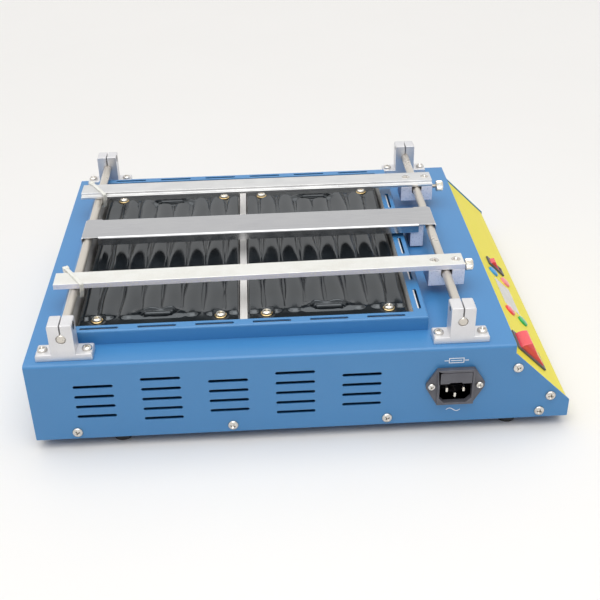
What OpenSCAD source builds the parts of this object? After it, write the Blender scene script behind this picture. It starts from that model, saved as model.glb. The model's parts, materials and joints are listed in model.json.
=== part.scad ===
// Infrared preheater for circuit boards: a sheet steel case with two ribbed
// ceramic heaters, guide rods with sliding clamp bars, and a sloping control panel.
// X runs along the case to the control end, Y from the inlet side to the back, Z up.

/* [Heater] */
// Length of each heater plate along X
plate_l = 137.5; // [110:0.5:160]
// Depth of each heater plate along Y
plate_d = 268; // [230:1:300]
// Thickness of a heater plate below its ribs
plate_t = 8; // [6:0.5:11]
// Height of the heater plate face above the case top
plate_rise = 1; // [0:0.5:3]
// Number of rounded ribs on each heater plate
rib_count = 8; // [6:1:9]
// Distance between ribs
rib_pitch = 18.2; // [14:0.1:20]
// Distance of the ribs from the plate's middle, towards the other plate
rib_shift = 2.8; // [0:0.1:5]
// Height of a rib above the plate face
rib_h = 2.5; // [1.5:0.25:3.5]
// Width of a rib at the plate face
rib_w = 17; // [12:0.5:18]
// Distance from the plate end to the tip of a rib
rib_end = 18; // [12:0.5:24]
// Distance of the heater screws from the plate's long edges
heater_screw_in = 16; // [12:0.5:22]
// Distance of the heater screws from the plate's ends
heater_screw_end = 18; // [12:0.5:24]
// Width of the strip between the two heater plates
divider_w = 7.5; // [6:0.5:12]
// Space between the heater plates and the tray walls at the left and the back
plate_gap = 2.5; // [1.5:0.25:5]
// Space between the heater plates and the tray wall at the right
right_gap = 1; // [1:0.25:4]
// Space between the heater plates and the tray wall at the front
front_gap = 7.75; // [4:0.25:10]
// Sheet thickness of the reflector tray
tray_t = 1; // [0.8:0.1:1.5]
// Depth of the tray floor below the case top
tray_depth = 32; // [28:1:40]
// Thickness of the insulation board
insulation_t = 12; // [8:1:16]

/* [Heater frame] */
// Height of the raised frame above the case top
frame_h = 13; // [9:0.5:14]
// Sheet thickness of the raised frame
frame_t = 1.2; // [0.8:0.1:2]
// Outer radius of the frame's bends
frame_r = 1.75; // [1.75:0.25:4]
// Width of the frame strip at the left
strip_side = 10; // [8:0.5:16]
// Width of the frame strip at the right
strip_right = 11.5; // [8:0.5:16]
// Width of the frame strips at the front and back
strip_end = 9; // [8:0.25:16]
// Length of a slot in the frame
frame_slot_l = 32; // [20:1:36]
// Width of a slot in the frame
frame_slot_w = 3; // [2:0.25:4]
// Distance between frame slots
frame_slot_pitch = 47.5; // [42:0.5:60]

/* [Case] */
// Distance from the left end of the case to the raised frame
frame_margin = 24; // [20:0.5:40]
// Distance from the raised frame to the front supports
frame_gap = 6; // [4:0.5:12]
// Distance from the raised frame to the rear supports
frame_back = 11.25; // [6:0.25:16]
// Distance from the inlet side of the case to the front supports
front_margin = 6; // [4:0.5:15]
// Distance from the rear supports to the back of the case
back_margin = 3; // [3:0.5:15]
// Distance from the right rod to the end of the flat top
top_margin = 44.5; // [35:0.5:60]
// Length of the sloping control end
panel_run = 50; // [46:1:56]
// Height of the case above its feet
case_h = 75.5; // [73:0.5:90]
// Height of the step between the top and the sloping panel
drop_h = 8.5; // [7:0.5:11]
// Height of the upright lip below the sloping panel
lip_h = 17; // [14:0.5:20]
// Thickness of the folded steel sheet
sheet_t = 1.5; // [1:0.1:2]
// Outer radius of the long upper bends
bend_r = 3; // [2.5:0.25:5]
// Height of the rubber feet
foot_h = 10; // [6:0.5:15]
// Diameter of the rubber feet
foot_d = 18; // [14:0.5:24]
// Height of the turned-up flanges of the base plate
flange_h = 15; // [13:0.5:20]

/* [Vents] */
// Length of a vent slot
vent_l = 32.5; // [24:0.5:38]
// Width of a vent slot
vent_w = 3; // [2:0.25:4]
// Distance between vent slots
vent_pitch = 10; // [7:0.5:11]
// Distance between vent groups
vent_group_pitch = 55; // [48:0.5:70]
// Distance from the left end to the middle of the first vent group
vent_first = 53.5; // [40:0.5:70]

/* [Guide rods] */
// Diameter of the guide rods
rod_d = 8; // [6:0.5:10]
// Height of the rod axis above the case top
rod_rise = 20.5; // [19:0.5:26]
// Distance of the left rod from the outer edge of the frame
rod_in = 9; // [7:0.5:14]
// Distance of the right rod from the outer edge of the frame
rod_out = 24; // [24:0.5:34]
// Width of a support across its base
support_w = 46; // [42:1:50]
// Width of a support's upright
upright_w = 20; // [18:0.5:22]
// Depth of a support along the rod
support_d = 16; // [13:0.5:20]
// Height of a support above the case top
support_h = 33.5; // [32:0.5:42]
// Thickness of a support's base
support_base_t = 6; // [5:0.5:8]
// Distance between the two screws of a support
support_pitch = 36; // [33:0.5:38]
// Width of the clamping slit in a support
slit_w = 1; // [0.6:0.1:2]

/* [Clamp bars] */
// Width of a clamp bar with its ledge
bar_w = 24; // [20:0.5:28]
// Thickness of a clamp bar
bar_t = 5; // [4:0.25:7]
// Width of the ledge that carries the board edge
ledge_w = 4; // [2:0.5:6]
// Depth of the ledge below the bar's top
ledge_drop = 2.5; // [1:0.25:3]
// Overhang of the bars beyond the left rod
bar_overhang = 16.5; // [14:0.5:22]
// Width of a clamp block under the bar
block_w = 32; // [29:0.5:36]
// Height of a clamp block
block_h = 15.5; // [13.5:0.5:16.5]
// Width of the rod notch in a clamp block
notch_w = 9.4; // [8.8:0.1:11]
// Distance of the block's screws from the rod axis
bar_screw_off = 9.5; // [9.5:0.25:11]
// Distance from the front supports to the middle of the front bar
front_bar_out = 73; // [68:0.5:80]
// Distance from the rear supports to the middle of the rear bar
rear_bar_out = 71; // [64:0.5:80]
// Angle of the front bar to the X axis
front_skew = 1; // [0:0.1:1.2]
// Diameter of the thumbscrew heads
thumb_d = 11; // [9:0.5:14]
// Length of the thumbscrew heads
thumb_l = 7; // [5:0.5:10]
// Diameter of the thumbscrew shanks
thumb_shank_d = 4; // [3:0.5:4]
// Number of teeth in the knurl of a thumbscrew
knurl_n = 24; // [16:1:30]
// Distance of the thumbscrews from the middle of the bar, towards the ledge
thumb_off = 3; // [3:0.25:5]
// Width of the cable tie strap
tie_w = 3.6; // [2.5:0.1:4.8]
// Thickness of the cable tie strap
tie_t = 1.2; // [1:0.1:1.6]
// Angle of the cable ties across the bars
tie_lean = 30; // [25:1:40]

/* [Board channel] */
// Width of the sheet channel across the middle
channel_w = 37; // [30:0.5:44]
// Sheet thickness of the channel
channel_t = 1.2; // [1:0.1:1.6]
// Outer radius of the channel's bends
channel_r = 2; // [1.75:0.25:3]
// Depth of the channel's side flanges
channel_flange_h = 8.5; // [6:0.5:9.5]
// Distance of the channel's middle behind the middle of the rods
channel_off = 7.5; // [4:0.5:10]
// Width of the guide block beside the right rod
guide_w = 12.5; // [10:0.5:13.5]
// Height of the guide block above the case top
guide_rise = 1.5; // [1:0.25:6]

/* [Control panel] */
// Thickness of the panel sheet
panel_t = 1.5; // [1:0.1:2]
// Distance of the panel face below the edges of the side plates
panel_inset = 1.2; // [1.2:0.1:2]
// Distance of the control row's middle down the slope
row_s = 38; // [35:0.5:40]
// Distance of the power switch from the inlet side
power_y = 33; // [28:0.5:40]
// Distance of the power switch down the slope
power_s = 29; // [28:0.5:34]
// Length of the power switch bezel
power_l = 36; // [33:0.5:37]
// Width of the power switch bezel
power_w = 26.5; // [24:0.5:28]
// Distance of the heater switch from the inlet side
heat_switch_y = 189; // [187:0.5:230]
// Length of the heater switch bezel
heat_switch_l = 22.5; // [20:0.5:24]
// Width of the heater switch bezel
heat_switch_w = 14; // [13.5:0.5:17]
// Tilt of a rocker to either side
rocker_tilt = 18; // [12:1:20]
// Diameter of the push buttons
button_d = 11.5; // [9:0.5:12]
// Travel of the push buttons
button_travel = 1.5; // [1:0.1:2]
// Distance of the button rows from the row's middle, along the slope
button_off = 9; // [8:0.5:11]
// Distance of the front pair of buttons from the inlet side
button_front_y = 98; // [95:0.5:100]
// Distance of the rear pair of buttons from the inlet side
button_rear_y = 168.5; // [167:0.5:171]
// Length of the display window along the panel
display_l = 47; // [38:0.5:48]
// Width of the display window down the slope
display_w = 22; // [16:0.5:24]
// Depth of the control board below the panel sheet
board_depth = 13; // [11:0.5:15]

/* [Mains inlet] */
// Distance of the inlet's middle from the control end
inlet_from_end = 99; // [95:0.5:104]
// Height of the inlet's middle above the bottom of the case
inlet_rise = 39.5; // [37:0.5:42]
// Width of the inlet flange
inlet_w = 49; // [48:0.5:54]
// Height of the inlet flange
inlet_h = 35; // [34:0.5:38]
// Thickness of the inlet flange
inlet_t = 3; // [2:0.25:4]
// Rise of the inlet's middle above its flange
inlet_rim = 2; // [1:0.25:3]
// Distance between the inlet screws
inlet_pitch = 40; // [39:0.5:42]
// Travel of the fuse drawer
drawer_travel = 18; // [12:1:20]

/* [Hidden] */
$fn = 48;

// Clearances
fit_gap = 0.05;
slide_gap = 0.3;
seat_gap = 0.5;
cut = 1;

// Broken edges of turned and milled pieces
edge = 1;

// Layout along X, from the left end
frame_x0 = frame_margin;
open_x0 = frame_x0 + strip_side;
open_l = plate_gap + 2 * plate_l + divider_w + right_gap;
open_x1 = open_x0 + open_l;
frame_x1 = open_x1 + strip_right;
plate_x = [open_x0 + plate_gap, open_x0 + plate_gap + plate_l + divider_w];
rod_x = [frame_x0 + rod_in, frame_x1 + rod_out];
top_l = rod_x[1] + top_margin;
case_l = top_l + panel_run;
inlet_x = case_l - inlet_from_end;

// Layout along Y, from the inlet side
rod_y0 = front_margin;
frame_y0 = rod_y0 + support_d + frame_gap;
open_y0 = frame_y0 + strip_end;
plate_y = open_y0 + front_gap;
open_y1 = plate_y + plate_d + plate_gap;
frame_y1 = open_y1 + strip_end;
rod_y1 = frame_y1 + frame_back + support_d;
case_d = rod_y1 + back_margin;
front_bar_y = rod_y0 + support_d + front_bar_out;
rear_bar_y = rod_y1 - support_d - rear_bar_out;
channel_y = (rod_y0 + rod_y1) / 2 + channel_off;

// Levels
top_z = foot_h + case_h;
face_z = top_z + plate_rise;
floor_z = top_z - tray_depth;
rod_z = top_z + rod_rise;
bar_z = rod_z + rod_d / 2 + slide_gap;
inlet_z = foot_h + inlet_rise;

// Slope of the control end
slope_z = top_z - drop_h;
slope_rise = case_h - drop_h - lip_h;
slope_a = atan2(slope_rise, panel_run);
slope_l = norm([panel_run, slope_rise]);
panel_y0 = sheet_t + slide_gap;
panel_w = case_d - 2 * panel_y0;
panel_tab = 6;
panel_foot = 14;
panel_side_h = 13;
panel_screw_in = 8;
panel_screw_s = [12, slope_l - 16];
panel_side_low = panel_inset + panel_t / 2 + panel_side_h;
panel_side_x1 = top_l + (panel_screw_s[1] + panel_screw_in) * cos(slope_a) - panel_side_low * sin(slope_a);

// Fasteners
m4_d = 3.9;
m4_hole = 4.2;
head_d = 8.5;
head_h = 2.6;
cross_w = 1.1;
nut_d = 8;
nut_h = 3.2;
screw_l = 8;
case_screw_rise = 7.2;
case_screw_first = 35.5;
case_screw_last = 25;
case_screw_n = 4;

// Inner layout
standoff_d = 8;
terminal_d = 10;
foot_first = 70.5;
foot_last = 49;
foot_side = 15;
stud_d = 4;
foot_x = [foot_first, case_l - foot_last];
foot_y = [foot_side, case_d - foot_side];
board_margin = 10;
board_y0 = button_front_y - board_margin;
board_y1 = button_rear_y + board_margin;
board_s0 = row_s - 25;
board_s1 = row_s + 25;
board_t = 1.6;
under_panel = -panel_inset - panel_t;
board_z = under_panel - board_depth;
display_y = (button_front_y + button_rear_y) / 2;
bezel_h = 2;
rocker_pin_d = 3;

// Places the case coordinates so that the origin is under the middle of the case
module in_case() translate([-case_l / 2, -case_d / 2, 0]) children();

// Places a child on the slope: X down the slope, Y along the case, Z out of the panel
module on_slope(s, y) {
    in_case() translate([top_l, y, slope_z]) rotate([0, slope_a, 0]) translate([s, 0, 0]) children();
}

// Height of the slope line at x, set in by d from the edges of the side plates
function slope_at(x, d) = slope_z - (d + (x - top_l) * sin(slope_a)) / cos(slope_a);

// A slot of length l along X with round ends, as a tool of height h about the origin
module slot_tool(l, w, h) {
    translate([-(l - w) / 2, -w / 2, -h / 2]) cube([l - w, w, h]);
    for (side = [-1, 1])
        translate([side * (l - w) / 2, 0, -h / 2]) cylinder(d = w, h = h);
}

// A pan head screw along -Z, with its seat at the origin
module pan_screw(l, d = head_d, h = head_h) {
    difference() {
        union() {
            cylinder(d = d, h = h / 2);
            translate([0, 0, h / 2]) cylinder(d1 = d, d2 = d * 0.66, h = h / 2);
        }
        for (turn = [0, 90])
            rotate(turn) translate([-d / 4, -cross_w / 2, h / 2]) cube([d / 2, cross_w, h]);
    }
    translate([0, 0, -l]) cylinder(d = m4_d, h = l);
}

// A countersunk screw along -Z, with its head flush at the origin
module flat_screw(l, d = head_d) {
    sink = (d - m4_d) / 2;
    difference() {
        translate([0, 0, -sink]) cylinder(d1 = m4_d, d2 = d, h = sink);
        for (turn = [0, 90])
            rotate(turn) translate([-d / 4, -cross_w / 2, -sink / 2]) cube([d / 2, cross_w, sink]);
    }
    translate([0, 0, -l]) cylinder(d = m4_d, h = l - sink);
}

// A hexagon nut with its seat at the origin, hanging down
module nut(d = nut_d, h = nut_h, bore = m4_d + 2 * fit_gap) {
    translate([0, 0, -h]) difference() {
        cylinder(d = d, h = h, $fn = 6);
        translate([0, 0, -cut]) cylinder(d = bore, h = h + 2 * cut);
    }
}

// Case shell
function case_screw_x(i) = case_screw_first
    + i * (case_l - case_screw_first - case_screw_last) / (case_screw_n - 1);

module side_outline() {
    polygon([[0, foot_h], [case_l, foot_h], [case_l, foot_h + lip_h], [top_l, slope_z],
        [top_l, top_z], [0, top_z]]);
}

// Upright section from a0 to a1, with its two upper corners rounded
module folded_section(a0, a1, z0, z1, r) {
    translate([a0, z0]) square([a1 - a0, z1 - r - z0]);
    translate([a0 + r, z0]) square([a1 - a0 - 2 * r, z1 - z0]);
    for (a = [a0 + r, a1 - r])
        translate([a, z1 - r]) circle(r = r);
}

// Section of the shell across the case, set in by d from the outer faces
module shell_section(d) folded_section(d, case_d - d, foot_h - cut, top_z - d, bend_r - d);

// A box between two corners with all its upper edges rounded
module folded_box(low, high, r) {
    intersection() {
        translate([low[0], 0, 0]) along_x(high[0] - low[0])
            folded_section(low[1], high[1], low[2], high[2], r);
        translate([0, low[1], 0]) along_y(high[1] - low[1])
            folded_section(low[0], high[0], low[2], high[2], r);
    }
}

module along_x(l) rotate([90, 0, 90]) linear_extrude(l) children();
module along_y(l) translate([0, l, 0]) rotate([90, 0, 0]) linear_extrude(l) children();

module vent_rows() {
    last = inlet_x - inlet_w / 2 - vent_l;
    for (i = [0 : floor((last - vent_first) / vent_group_pitch)]) {
        count = 4 + i % 2;
        for (k = [0 : count - 1])
            translate([vent_first + i * vent_group_pitch, 0,
                    foot_h + case_h / 2 + (k - (count - 1) / 2) * vent_pitch])
                rotate([90, 0, 0]) slot_tool(vent_l, vent_w, 4 * sheet_t);
    }
}

// Places a child at each case screw, its Z axis pointing out of the side plate
module at_case_screws() {
    for (back = [0, 1]) {
        for (i = [0 : case_screw_n - 1])
            translate([case_screw_x(i), back * case_d, foot_h + case_screw_rise])
                rotate([back ? -90 : 90, 0, 0]) children();
        for (s = panel_screw_s)
            translate([top_l + s * cos(slope_a) - panel_screw_in * sin(slope_a), back * case_d,
                    slope_z - s * sin(slope_a) - panel_screw_in * cos(slope_a)])
                rotate([back ? -90 : 90, 0, 0]) children();
    }
}

// Places a child at each support screw, at the level of the case top
module at_support_screws() {
    for (x = rod_x, y = [rod_y0 + support_d / 2, rod_y1 - support_d / 2], side = [-1, 1])
        translate([x + side * support_pitch / 2, y, top_z]) children();
}

module cover() {
    color([0.26, 0.47, 0.70]) in_case() difference() {
        intersection() {
            difference() {
                along_x(case_l) shell_section(0);
                translate([sheet_t, 0, 0]) along_x(top_l - 2 * sheet_t) shell_section(sheet_t);
                translate([top_l - 2 * sheet_t, sheet_t, foot_h - cut])
                    cube([case_l, case_d - 2 * sheet_t, slope_z - foot_h + cut]);
            }
            along_y(case_d) side_outline();
        }
        translate([open_x0 - tray_t - seat_gap, open_y0 - tray_t - seat_gap, top_z - 2 * sheet_t])
            cube([open_l + 2 * (tray_t + seat_gap),
                open_y1 - open_y0 + 2 * (tray_t + seat_gap), 4 * sheet_t]);
        vent_rows();
        translate([0, case_d, 0]) vent_rows();
        at_case_screws() translate([0, 0, -2 * sheet_t]) cylinder(d = m4_hole, h = 4 * sheet_t);
        at_support_screws() translate([0, 0, -2 * sheet_t]) cylinder(d = m4_hole, h = 4 * sheet_t);
        translate([inlet_x, 0, inlet_z]) {
            translate([0, 0, -inlet_drop])
                cube([inlet_body_w + 2 * slide_gap, 4 * sheet_t, inlet_body_h + 2 * slide_gap],
                    center = true);
            at_inlet_screws() translate([0, 0, -2 * sheet_t]) cylinder(d = m4_hole, h = 4 * sheet_t);
        }
    }
}

module base_plate() {
    x0 = sheet_t;
    x1 = case_l - panel_inset;
    depth = case_d - 2 * sheet_t;
    flange_x1 = min(x1 - panel_foot, panel_side_x1) - seat_gap;
    color([0.20, 0.36, 0.55]) in_case() difference() {
        union() {
            translate([x0, sheet_t, foot_h]) cube([x1 - x0, depth, sheet_t]);
            for (y = [sheet_t, case_d - 2 * sheet_t])
                translate([x0, y, foot_h]) cube([flange_x1 - x0, sheet_t, flange_h]);
            translate([x0, sheet_t, foot_h]) cube([sheet_t, depth, flange_h]);
        }
        at_case_screws() translate([0, 0, -4 * sheet_t]) cylinder(d = m4_hole, h = 6 * sheet_t);
        for (x = foot_x, y = foot_y)
            translate([x, y, foot_h - cut]) cylinder(d = m4_hole, h = sheet_t + 2 * cut);
    }
}

module control_panel() {
    x0 = top_l - sheet_t - fit_gap;
    x1 = case_l - panel_inset;
    d0 = panel_inset;
    d1 = panel_inset + panel_t;
    z0 = foot_h + sheet_t;
    color([0.95, 0.88, 0.25]) difference() {
        union() {
            in_case() translate([0, panel_y0, 0]) along_y(panel_w)
                polygon([[x0, slope_z + panel_tab], [x0, slope_at(x0, d0)], [x1, slope_at(x1, d0)],
                    [x1, z0], [x1 - panel_foot, z0], [x1 - panel_foot, z0 + panel_t],
                    [x1 - panel_t, z0 + panel_t], [x1 - panel_t, slope_at(x1 - panel_t, d1)],
                    [x0 - panel_t, slope_at(x0 - panel_t, d1)], [x0 - panel_t, slope_z + panel_tab]]);
            for (y = [panel_y0, panel_y0 + panel_w - panel_t])
                on_slope(panel_screw_s[0] - panel_screw_in, y)
                    translate([0, 0, -panel_side_low])
                        cube([panel_screw_s[1] - panel_screw_s[0] + 2 * panel_screw_in, panel_t,
                            panel_side_h]);
        }
        in_case() at_case_screws() translate([0, 0, -6 * sheet_t]) cylinder(d = m4_hole, h = 8 * sheet_t);
        on_slope(power_s, power_y) rocker_cutout(power_l, power_w);
        on_slope(row_s, heat_switch_y) rocker_cutout(heat_switch_l, heat_switch_w);
        on_slope(row_s, display_y)
            cube([display_w + 2 * slide_gap, display_l + 2 * slide_gap, 4 * d1], center = true);
        at_buttons() cylinder(d = button_d + 2 * slide_gap, h = 4 * d1, center = true);
    }
}

// Raised frame round the heaters
module frame_slots(length, along) {
    n = floor((length - frame_slot_l) / frame_slot_pitch) + 1;
    for (i = [0 : n - 1])
        translate(along * ((i - (n - 1) / 2) * frame_slot_pitch))
            rotate(along[1] * 90) slot_tool(frame_slot_l, frame_slot_w, 4 * frame_t);
}

module heater_frame() {
    low = [frame_x0, frame_y0, top_z];
    high = [frame_x1, frame_y1, top_z + frame_h];
    wall = [frame_t, frame_t, frame_t];
    mid = (low + high) / 2;
    color([0.22, 0.45, 0.70]) in_case() difference() {
        folded_box(low, high, frame_r);
        folded_box(low + [frame_t, frame_t, -cut], high - wall, frame_r - frame_t);
        translate([open_x0, open_y0, top_z]) cube([open_l, open_y1 - open_y0, 2 * frame_h]);
        for (y = [frame_y0 + strip_end / 2, frame_y1 - strip_end / 2])
            translate([mid[0], y, top_z + frame_h]) frame_slots(open_l, [1, 0, 0]);
        for (x = [frame_x0 + strip_side / 2, frame_x1 - strip_right / 2])
            translate([x, mid[1], top_z + frame_h]) frame_slots(open_y1 - open_y0, [0, 1, 0]);
    }
}

// Heater unit
module reflector_tray() {
    side_rim = [strip_side / 2, strip_right / 2];
    end_rim = strip_end - frame_t - seat_gap;
    rim_z = top_z + frame_h - frame_t;
    l = open_l + 2 * tray_t;
    d = open_y1 - open_y0 + 2 * tray_t;
    color([0.80, 0.80, 0.82]) in_case() translate([open_x0 - tray_t, open_y0 - tray_t, 0]) difference() {
        union() {
            translate([0, 0, floor_z]) cube([l, d, rim_z - floor_z]);
            // The end rims rest on the case, the side rims shine through the slots of the frame
            translate([0, tray_t - end_rim, top_z]) cube([l, d - 2 * tray_t + 2 * end_rim, tray_t]);
            translate([tray_t - side_rim[0], 0, rim_z - tray_t])
                cube([open_l + side_rim[0] + side_rim[1], d, tray_t]);
        }
        translate([tray_t, tray_t, floor_z + tray_t])
            cube([l - 2 * tray_t, d - 2 * tray_t, tray_depth + frame_h]);
        translate([tray_t - open_x0, tray_t - open_y0, 0]) {
            at_terminals() cylinder(d = terminal_d + 2 * slide_gap, h = 4 * tray_t, center = true);
            at_heater_screws() translate([0, 0, floor_z])
                cylinder(d = m4_hole, h = 4 * tray_t, center = true);
            at_thermocouple() cylinder(d = probe_d + 2 * fit_gap, h = 4 * tray_t, center = true);
        }
    }
}

probe_d = 3;
probe_nut_d = 8;
probe_nut_h = 3;

// Places a child at each heater screw, at the level of the ground
module at_heater_screws() {
    for (x = plate_x, dx = [heater_screw_in, plate_l - heater_screw_in],
            dy = [heater_screw_end, plate_d - heater_screw_end])
        translate([x + dx, plate_y + dy, 0]) children();
}

// Places a child at each heater terminal, on the tray floor
module at_terminals() {
    for (x = plate_x, dy = [plate_d * 0.4, plate_d * 0.6])
        translate([x + plate_l / 2, plate_y + dy, floor_z]) children();
}

// Places a child at the temperature probe, on the tray floor
module at_thermocouple() {
    translate([plate_x[1] - divider_w / 2, plate_y + plate_d / 2, floor_z]) children();
}

module insulation_board() {
    color([0.85, 0.82, 0.74]) in_case() difference() {
        translate([open_x0 + seat_gap, open_y0 + seat_gap, floor_z + tray_t])
            cube([open_l - 2 * seat_gap, open_y1 - open_y0 - 2 * seat_gap, insulation_t]);
        at_heater_screws() translate([0, 0, floor_z])
            cylinder(d = standoff_d + 2 * slide_gap, h = tray_depth);
        at_terminals() cylinder(d = terminal_d + 2 * slide_gap, h = tray_depth);
        at_thermocouple() cylinder(d = probe_d + 2 * slide_gap, h = tray_depth);
    }
}

// One ribbed plate with its outer edge towards -X: round-ended ribs on a slab, three of them
// joined at each end round a pocket with a bar, and flat seats round the screws
lobe_ribs = [2, 4];
pocket_wall = 2.5;
lobe_bar_w = 5;

function rib_x(i) = (i - (rib_count - 1) / 2) * rib_pitch + rib_shift;

module heater_plate(x, turned) {
    r = (rib_w * rib_w / 4 + rib_h * rib_h) / (2 * rib_h);
    run = plate_d / 2 - rib_end - rib_w / 2;
    lobe = [rib_x(lobe_ribs[0]), rib_x(lobe_ribs[1])];
    pocket_l = lobe[1] - lobe[0];
    pocket_d = rib_w - 2 * pocket_wall;
    seat_d = head_d + 5;
    color([0.07, 0.07, 0.08]) in_case() difference() {
        translate([x + plate_l / 2, plate_y + plate_d / 2, face_z]) mirror([turned, 0, 0]) {
            translate([-plate_l / 2, -plate_d / 2, -plate_t]) cube([plate_l, plate_d, plate_t]);
            intersection() {
                translate([-plate_l / 2, -plate_d / 2, -plate_t / 2])
                    cube([plate_l, plate_d, plate_t / 2 + rib_h + cut]);
                difference() {
                    translate([0, 0, rib_h - r]) {
                        for (i = [0 : rib_count - 1]) translate([rib_x(i), 0, 0]) {
                            rotate([90, 0, 0]) cylinder(r = r, h = 2 * run, center = true);
                            for (end = [-1, 1]) translate([0, end * run, 0]) sphere(r = r);
                        }
                        for (end = [-1, 1])
                            translate([lobe[0], end * run, 0]) rotate([0, 90, 0])
                                cylinder(r = r, h = pocket_l);
                    }
                    for (end = [-1, 1])
                        translate([(lobe[0] + lobe[1]) / 2, end * run, 0]) linear_extrude(2 * rib_h)
                            polygon([[-pocket_l / 2, 0], [pocket_d / 2 - pocket_l / 2, -pocket_d / 2],
                                [pocket_l / 2 - pocket_d / 2, -pocket_d / 2], [pocket_l / 2, 0],
                                [pocket_l / 2 - pocket_d / 2, pocket_d / 2],
                                [pocket_d / 2 - pocket_l / 2, pocket_d / 2]]);
                }
            }
            for (end = [-1, 1])
                translate([(lobe[0] + lobe[1]) / 2, end * run, rib_h / 2])
                    cube([pocket_l - pocket_d, lobe_bar_w, rib_h], center = true);
        }
        at_heater_screws() {
            translate([0, 0, face_z]) cylinder(d = seat_d, h = 2 * rib_h);
            translate([0, 0, face_z - plate_t - cut]) cylinder(d = m4_hole, h = plate_t + 2 * cut);
        }
    }
}

module heater_plate_left() heater_plate(plate_x[0], 0);
module heater_plate_right() heater_plate(plate_x[1], 1);

module divider_strip() {
    w = divider_w - 2 * seat_gap;
    z0 = floor_z + tray_t + insulation_t;
    h = face_z - z0 - seat_gap;
    color([0.78, 0.78, 0.80]) in_case() difference() {
        translate([plate_x[1] - divider_w + seat_gap, plate_y, z0]) cube([w, plate_d, h]);
        translate([plate_x[1] - divider_w + seat_gap + tray_t, plate_y - cut, z0 - cut])
            cube([w - 2 * tray_t, plate_d + 2 * cut, h - tray_t + cut]);
    }
}

module heater_screws() {
    washer_t = 0.8;
    color([0.80, 0.62, 0.30]) in_case() at_heater_screws() translate([0, 0, face_z]) {
        difference() {
            cylinder(d = head_d + 2, h = washer_t);
            translate([0, 0, -cut]) cylinder(d = m4_d, h = washer_t + 2 * cut);
        }
        translate([0, 0, washer_t]) pan_screw(face_z + washer_t - floor_z - tray_t);
    }
}

module heater_standoffs() {
    z0 = floor_z + tray_t;
    color([0.70, 0.70, 0.72]) in_case() at_heater_screws() translate([0, 0, z0]) difference() {
        cylinder(d = standoff_d, h = face_z - plate_t - z0);
        translate([0, 0, -cut]) cylinder(d = m4_d + 2 * fit_gap, h = tray_depth);
    }
}

module heater_terminals() {
    stud_out = 14;
    z1 = face_z - plate_t;
    color([0.88, 0.86, 0.82]) in_case() at_terminals() {
        translate([0, 0, -terminal_d / 2]) cylinder(d = terminal_d, h = z1 - floor_z + terminal_d / 2);
        translate([0, 0, -stud_out]) cylinder(d = stud_d, h = stud_out);
    }
}

module thermocouple() {
    tip = 2 * plate_rise;
    color([0.72, 0.72, 0.74]) in_case() at_thermocouple() {
        translate([0, 0, -probe_nut_h - probe_d])
            cylinder(d = probe_d, h = face_z - floor_z - tip - 2 * tray_t + probe_nut_h);
        translate([0, 0, -probe_nut_h]) cylinder(d = probe_nut_d, h = probe_nut_h, $fn = 6);
    }
}

// Guide rods and their split supports
clamp_screw_rise = rod_rise + rod_d / 2 + 4.5;
clamp_head_d = 7;
clamp_head_h = 4;

module rod_support(x, y) {
    color([0.86, 0.86, 0.87]) in_case() translate([x, y, top_z]) difference() {
        along_y(support_d) polygon([[-support_w / 2, 0], [support_w / 2, 0],
            [support_w / 2, support_base_t - edge], [support_w / 2 - edge, support_base_t],
            [upright_w / 2, support_base_t], [upright_w / 2, support_h - edge],
            [upright_w / 2 - edge, support_h], [edge - upright_w / 2, support_h],
            [-upright_w / 2, support_h - edge], [-upright_w / 2, support_base_t],
            [edge - support_w / 2, support_base_t], [-support_w / 2, support_base_t - edge]]);
        translate([0, -cut, rod_rise]) rotate([-90, 0, 0])
            cylinder(d = rod_d + 2 * fit_gap, h = support_d + 2 * cut);
        translate([-slit_w / 2, -cut, rod_rise]) cube([slit_w, support_d + 2 * cut, support_h]);
        for (side = [-1, 1])
            translate([side * support_pitch / 2, support_d / 2, -cut])
                cylinder(d = m4_hole, h = support_base_t + 2 * cut);
        translate([-upright_w / 2 - cut, support_d / 2, clamp_screw_rise]) rotate([0, 90, 0])
            cylinder(d = m4_hole, h = upright_w + 2 * cut);
        translate([upright_w / 2 - clamp_head_h, support_d / 2, clamp_screw_rise]) rotate([0, 90, 0])
            cylinder(d = clamp_head_d + 2 * fit_gap, h = clamp_head_h + cut);
    }
}

module support_front_left() rod_support(rod_x[0], rod_y0);
module support_front_right() rod_support(rod_x[1], rod_y0);
module support_rear_left() rod_support(rod_x[0], rod_y1 - support_d);
module support_rear_right() rod_support(rod_x[1], rod_y1 - support_d);

module support_screws() {
    color([0.78, 0.76, 0.72]) in_case() at_support_screws() translate([0, 0, support_base_t])
        pan_screw(support_base_t + sheet_t + nut_h + 1);
}

module support_nuts() {
    color([0.78, 0.76, 0.72]) in_case() at_support_screws() translate([0, 0, -sheet_t]) nut();
}

module support_clamp_screws() {
    hex = 3;
    color([0.35, 0.35, 0.37]) in_case()
        for (x = rod_x, y = [rod_y0, rod_y1 - support_d])
            translate([x + upright_w / 2 - clamp_head_h, y + support_d / 2, top_z + clamp_screw_rise])
                rotate([0, 90, 0]) {
                    difference() {
                        cylinder(d = clamp_head_d, h = clamp_head_h);
                        translate([0, 0, clamp_head_h / 2]) cylinder(d = hex, h = clamp_head_h, $fn = 6);
                    }
                    translate([0, 0, clamp_head_h - upright_w])
                        cylinder(d = m4_d, h = upright_w - clamp_head_h);
                }
}

module guide_rod(x) {
    l = rod_y1 - rod_y0;
    color([0.80, 0.78, 0.73]) in_case() translate([x, rod_y0, rod_z]) rotate([-90, 0, 0]) {
        cylinder(d1 = rod_d - 2 * edge, d2 = rod_d, h = edge);
        translate([0, 0, edge]) cylinder(d = rod_d, h = l - 2 * edge);
        translate([0, 0, l - edge]) cylinder(d1 = rod_d, d2 = rod_d - 2 * edge, h = edge);
    }
}

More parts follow.
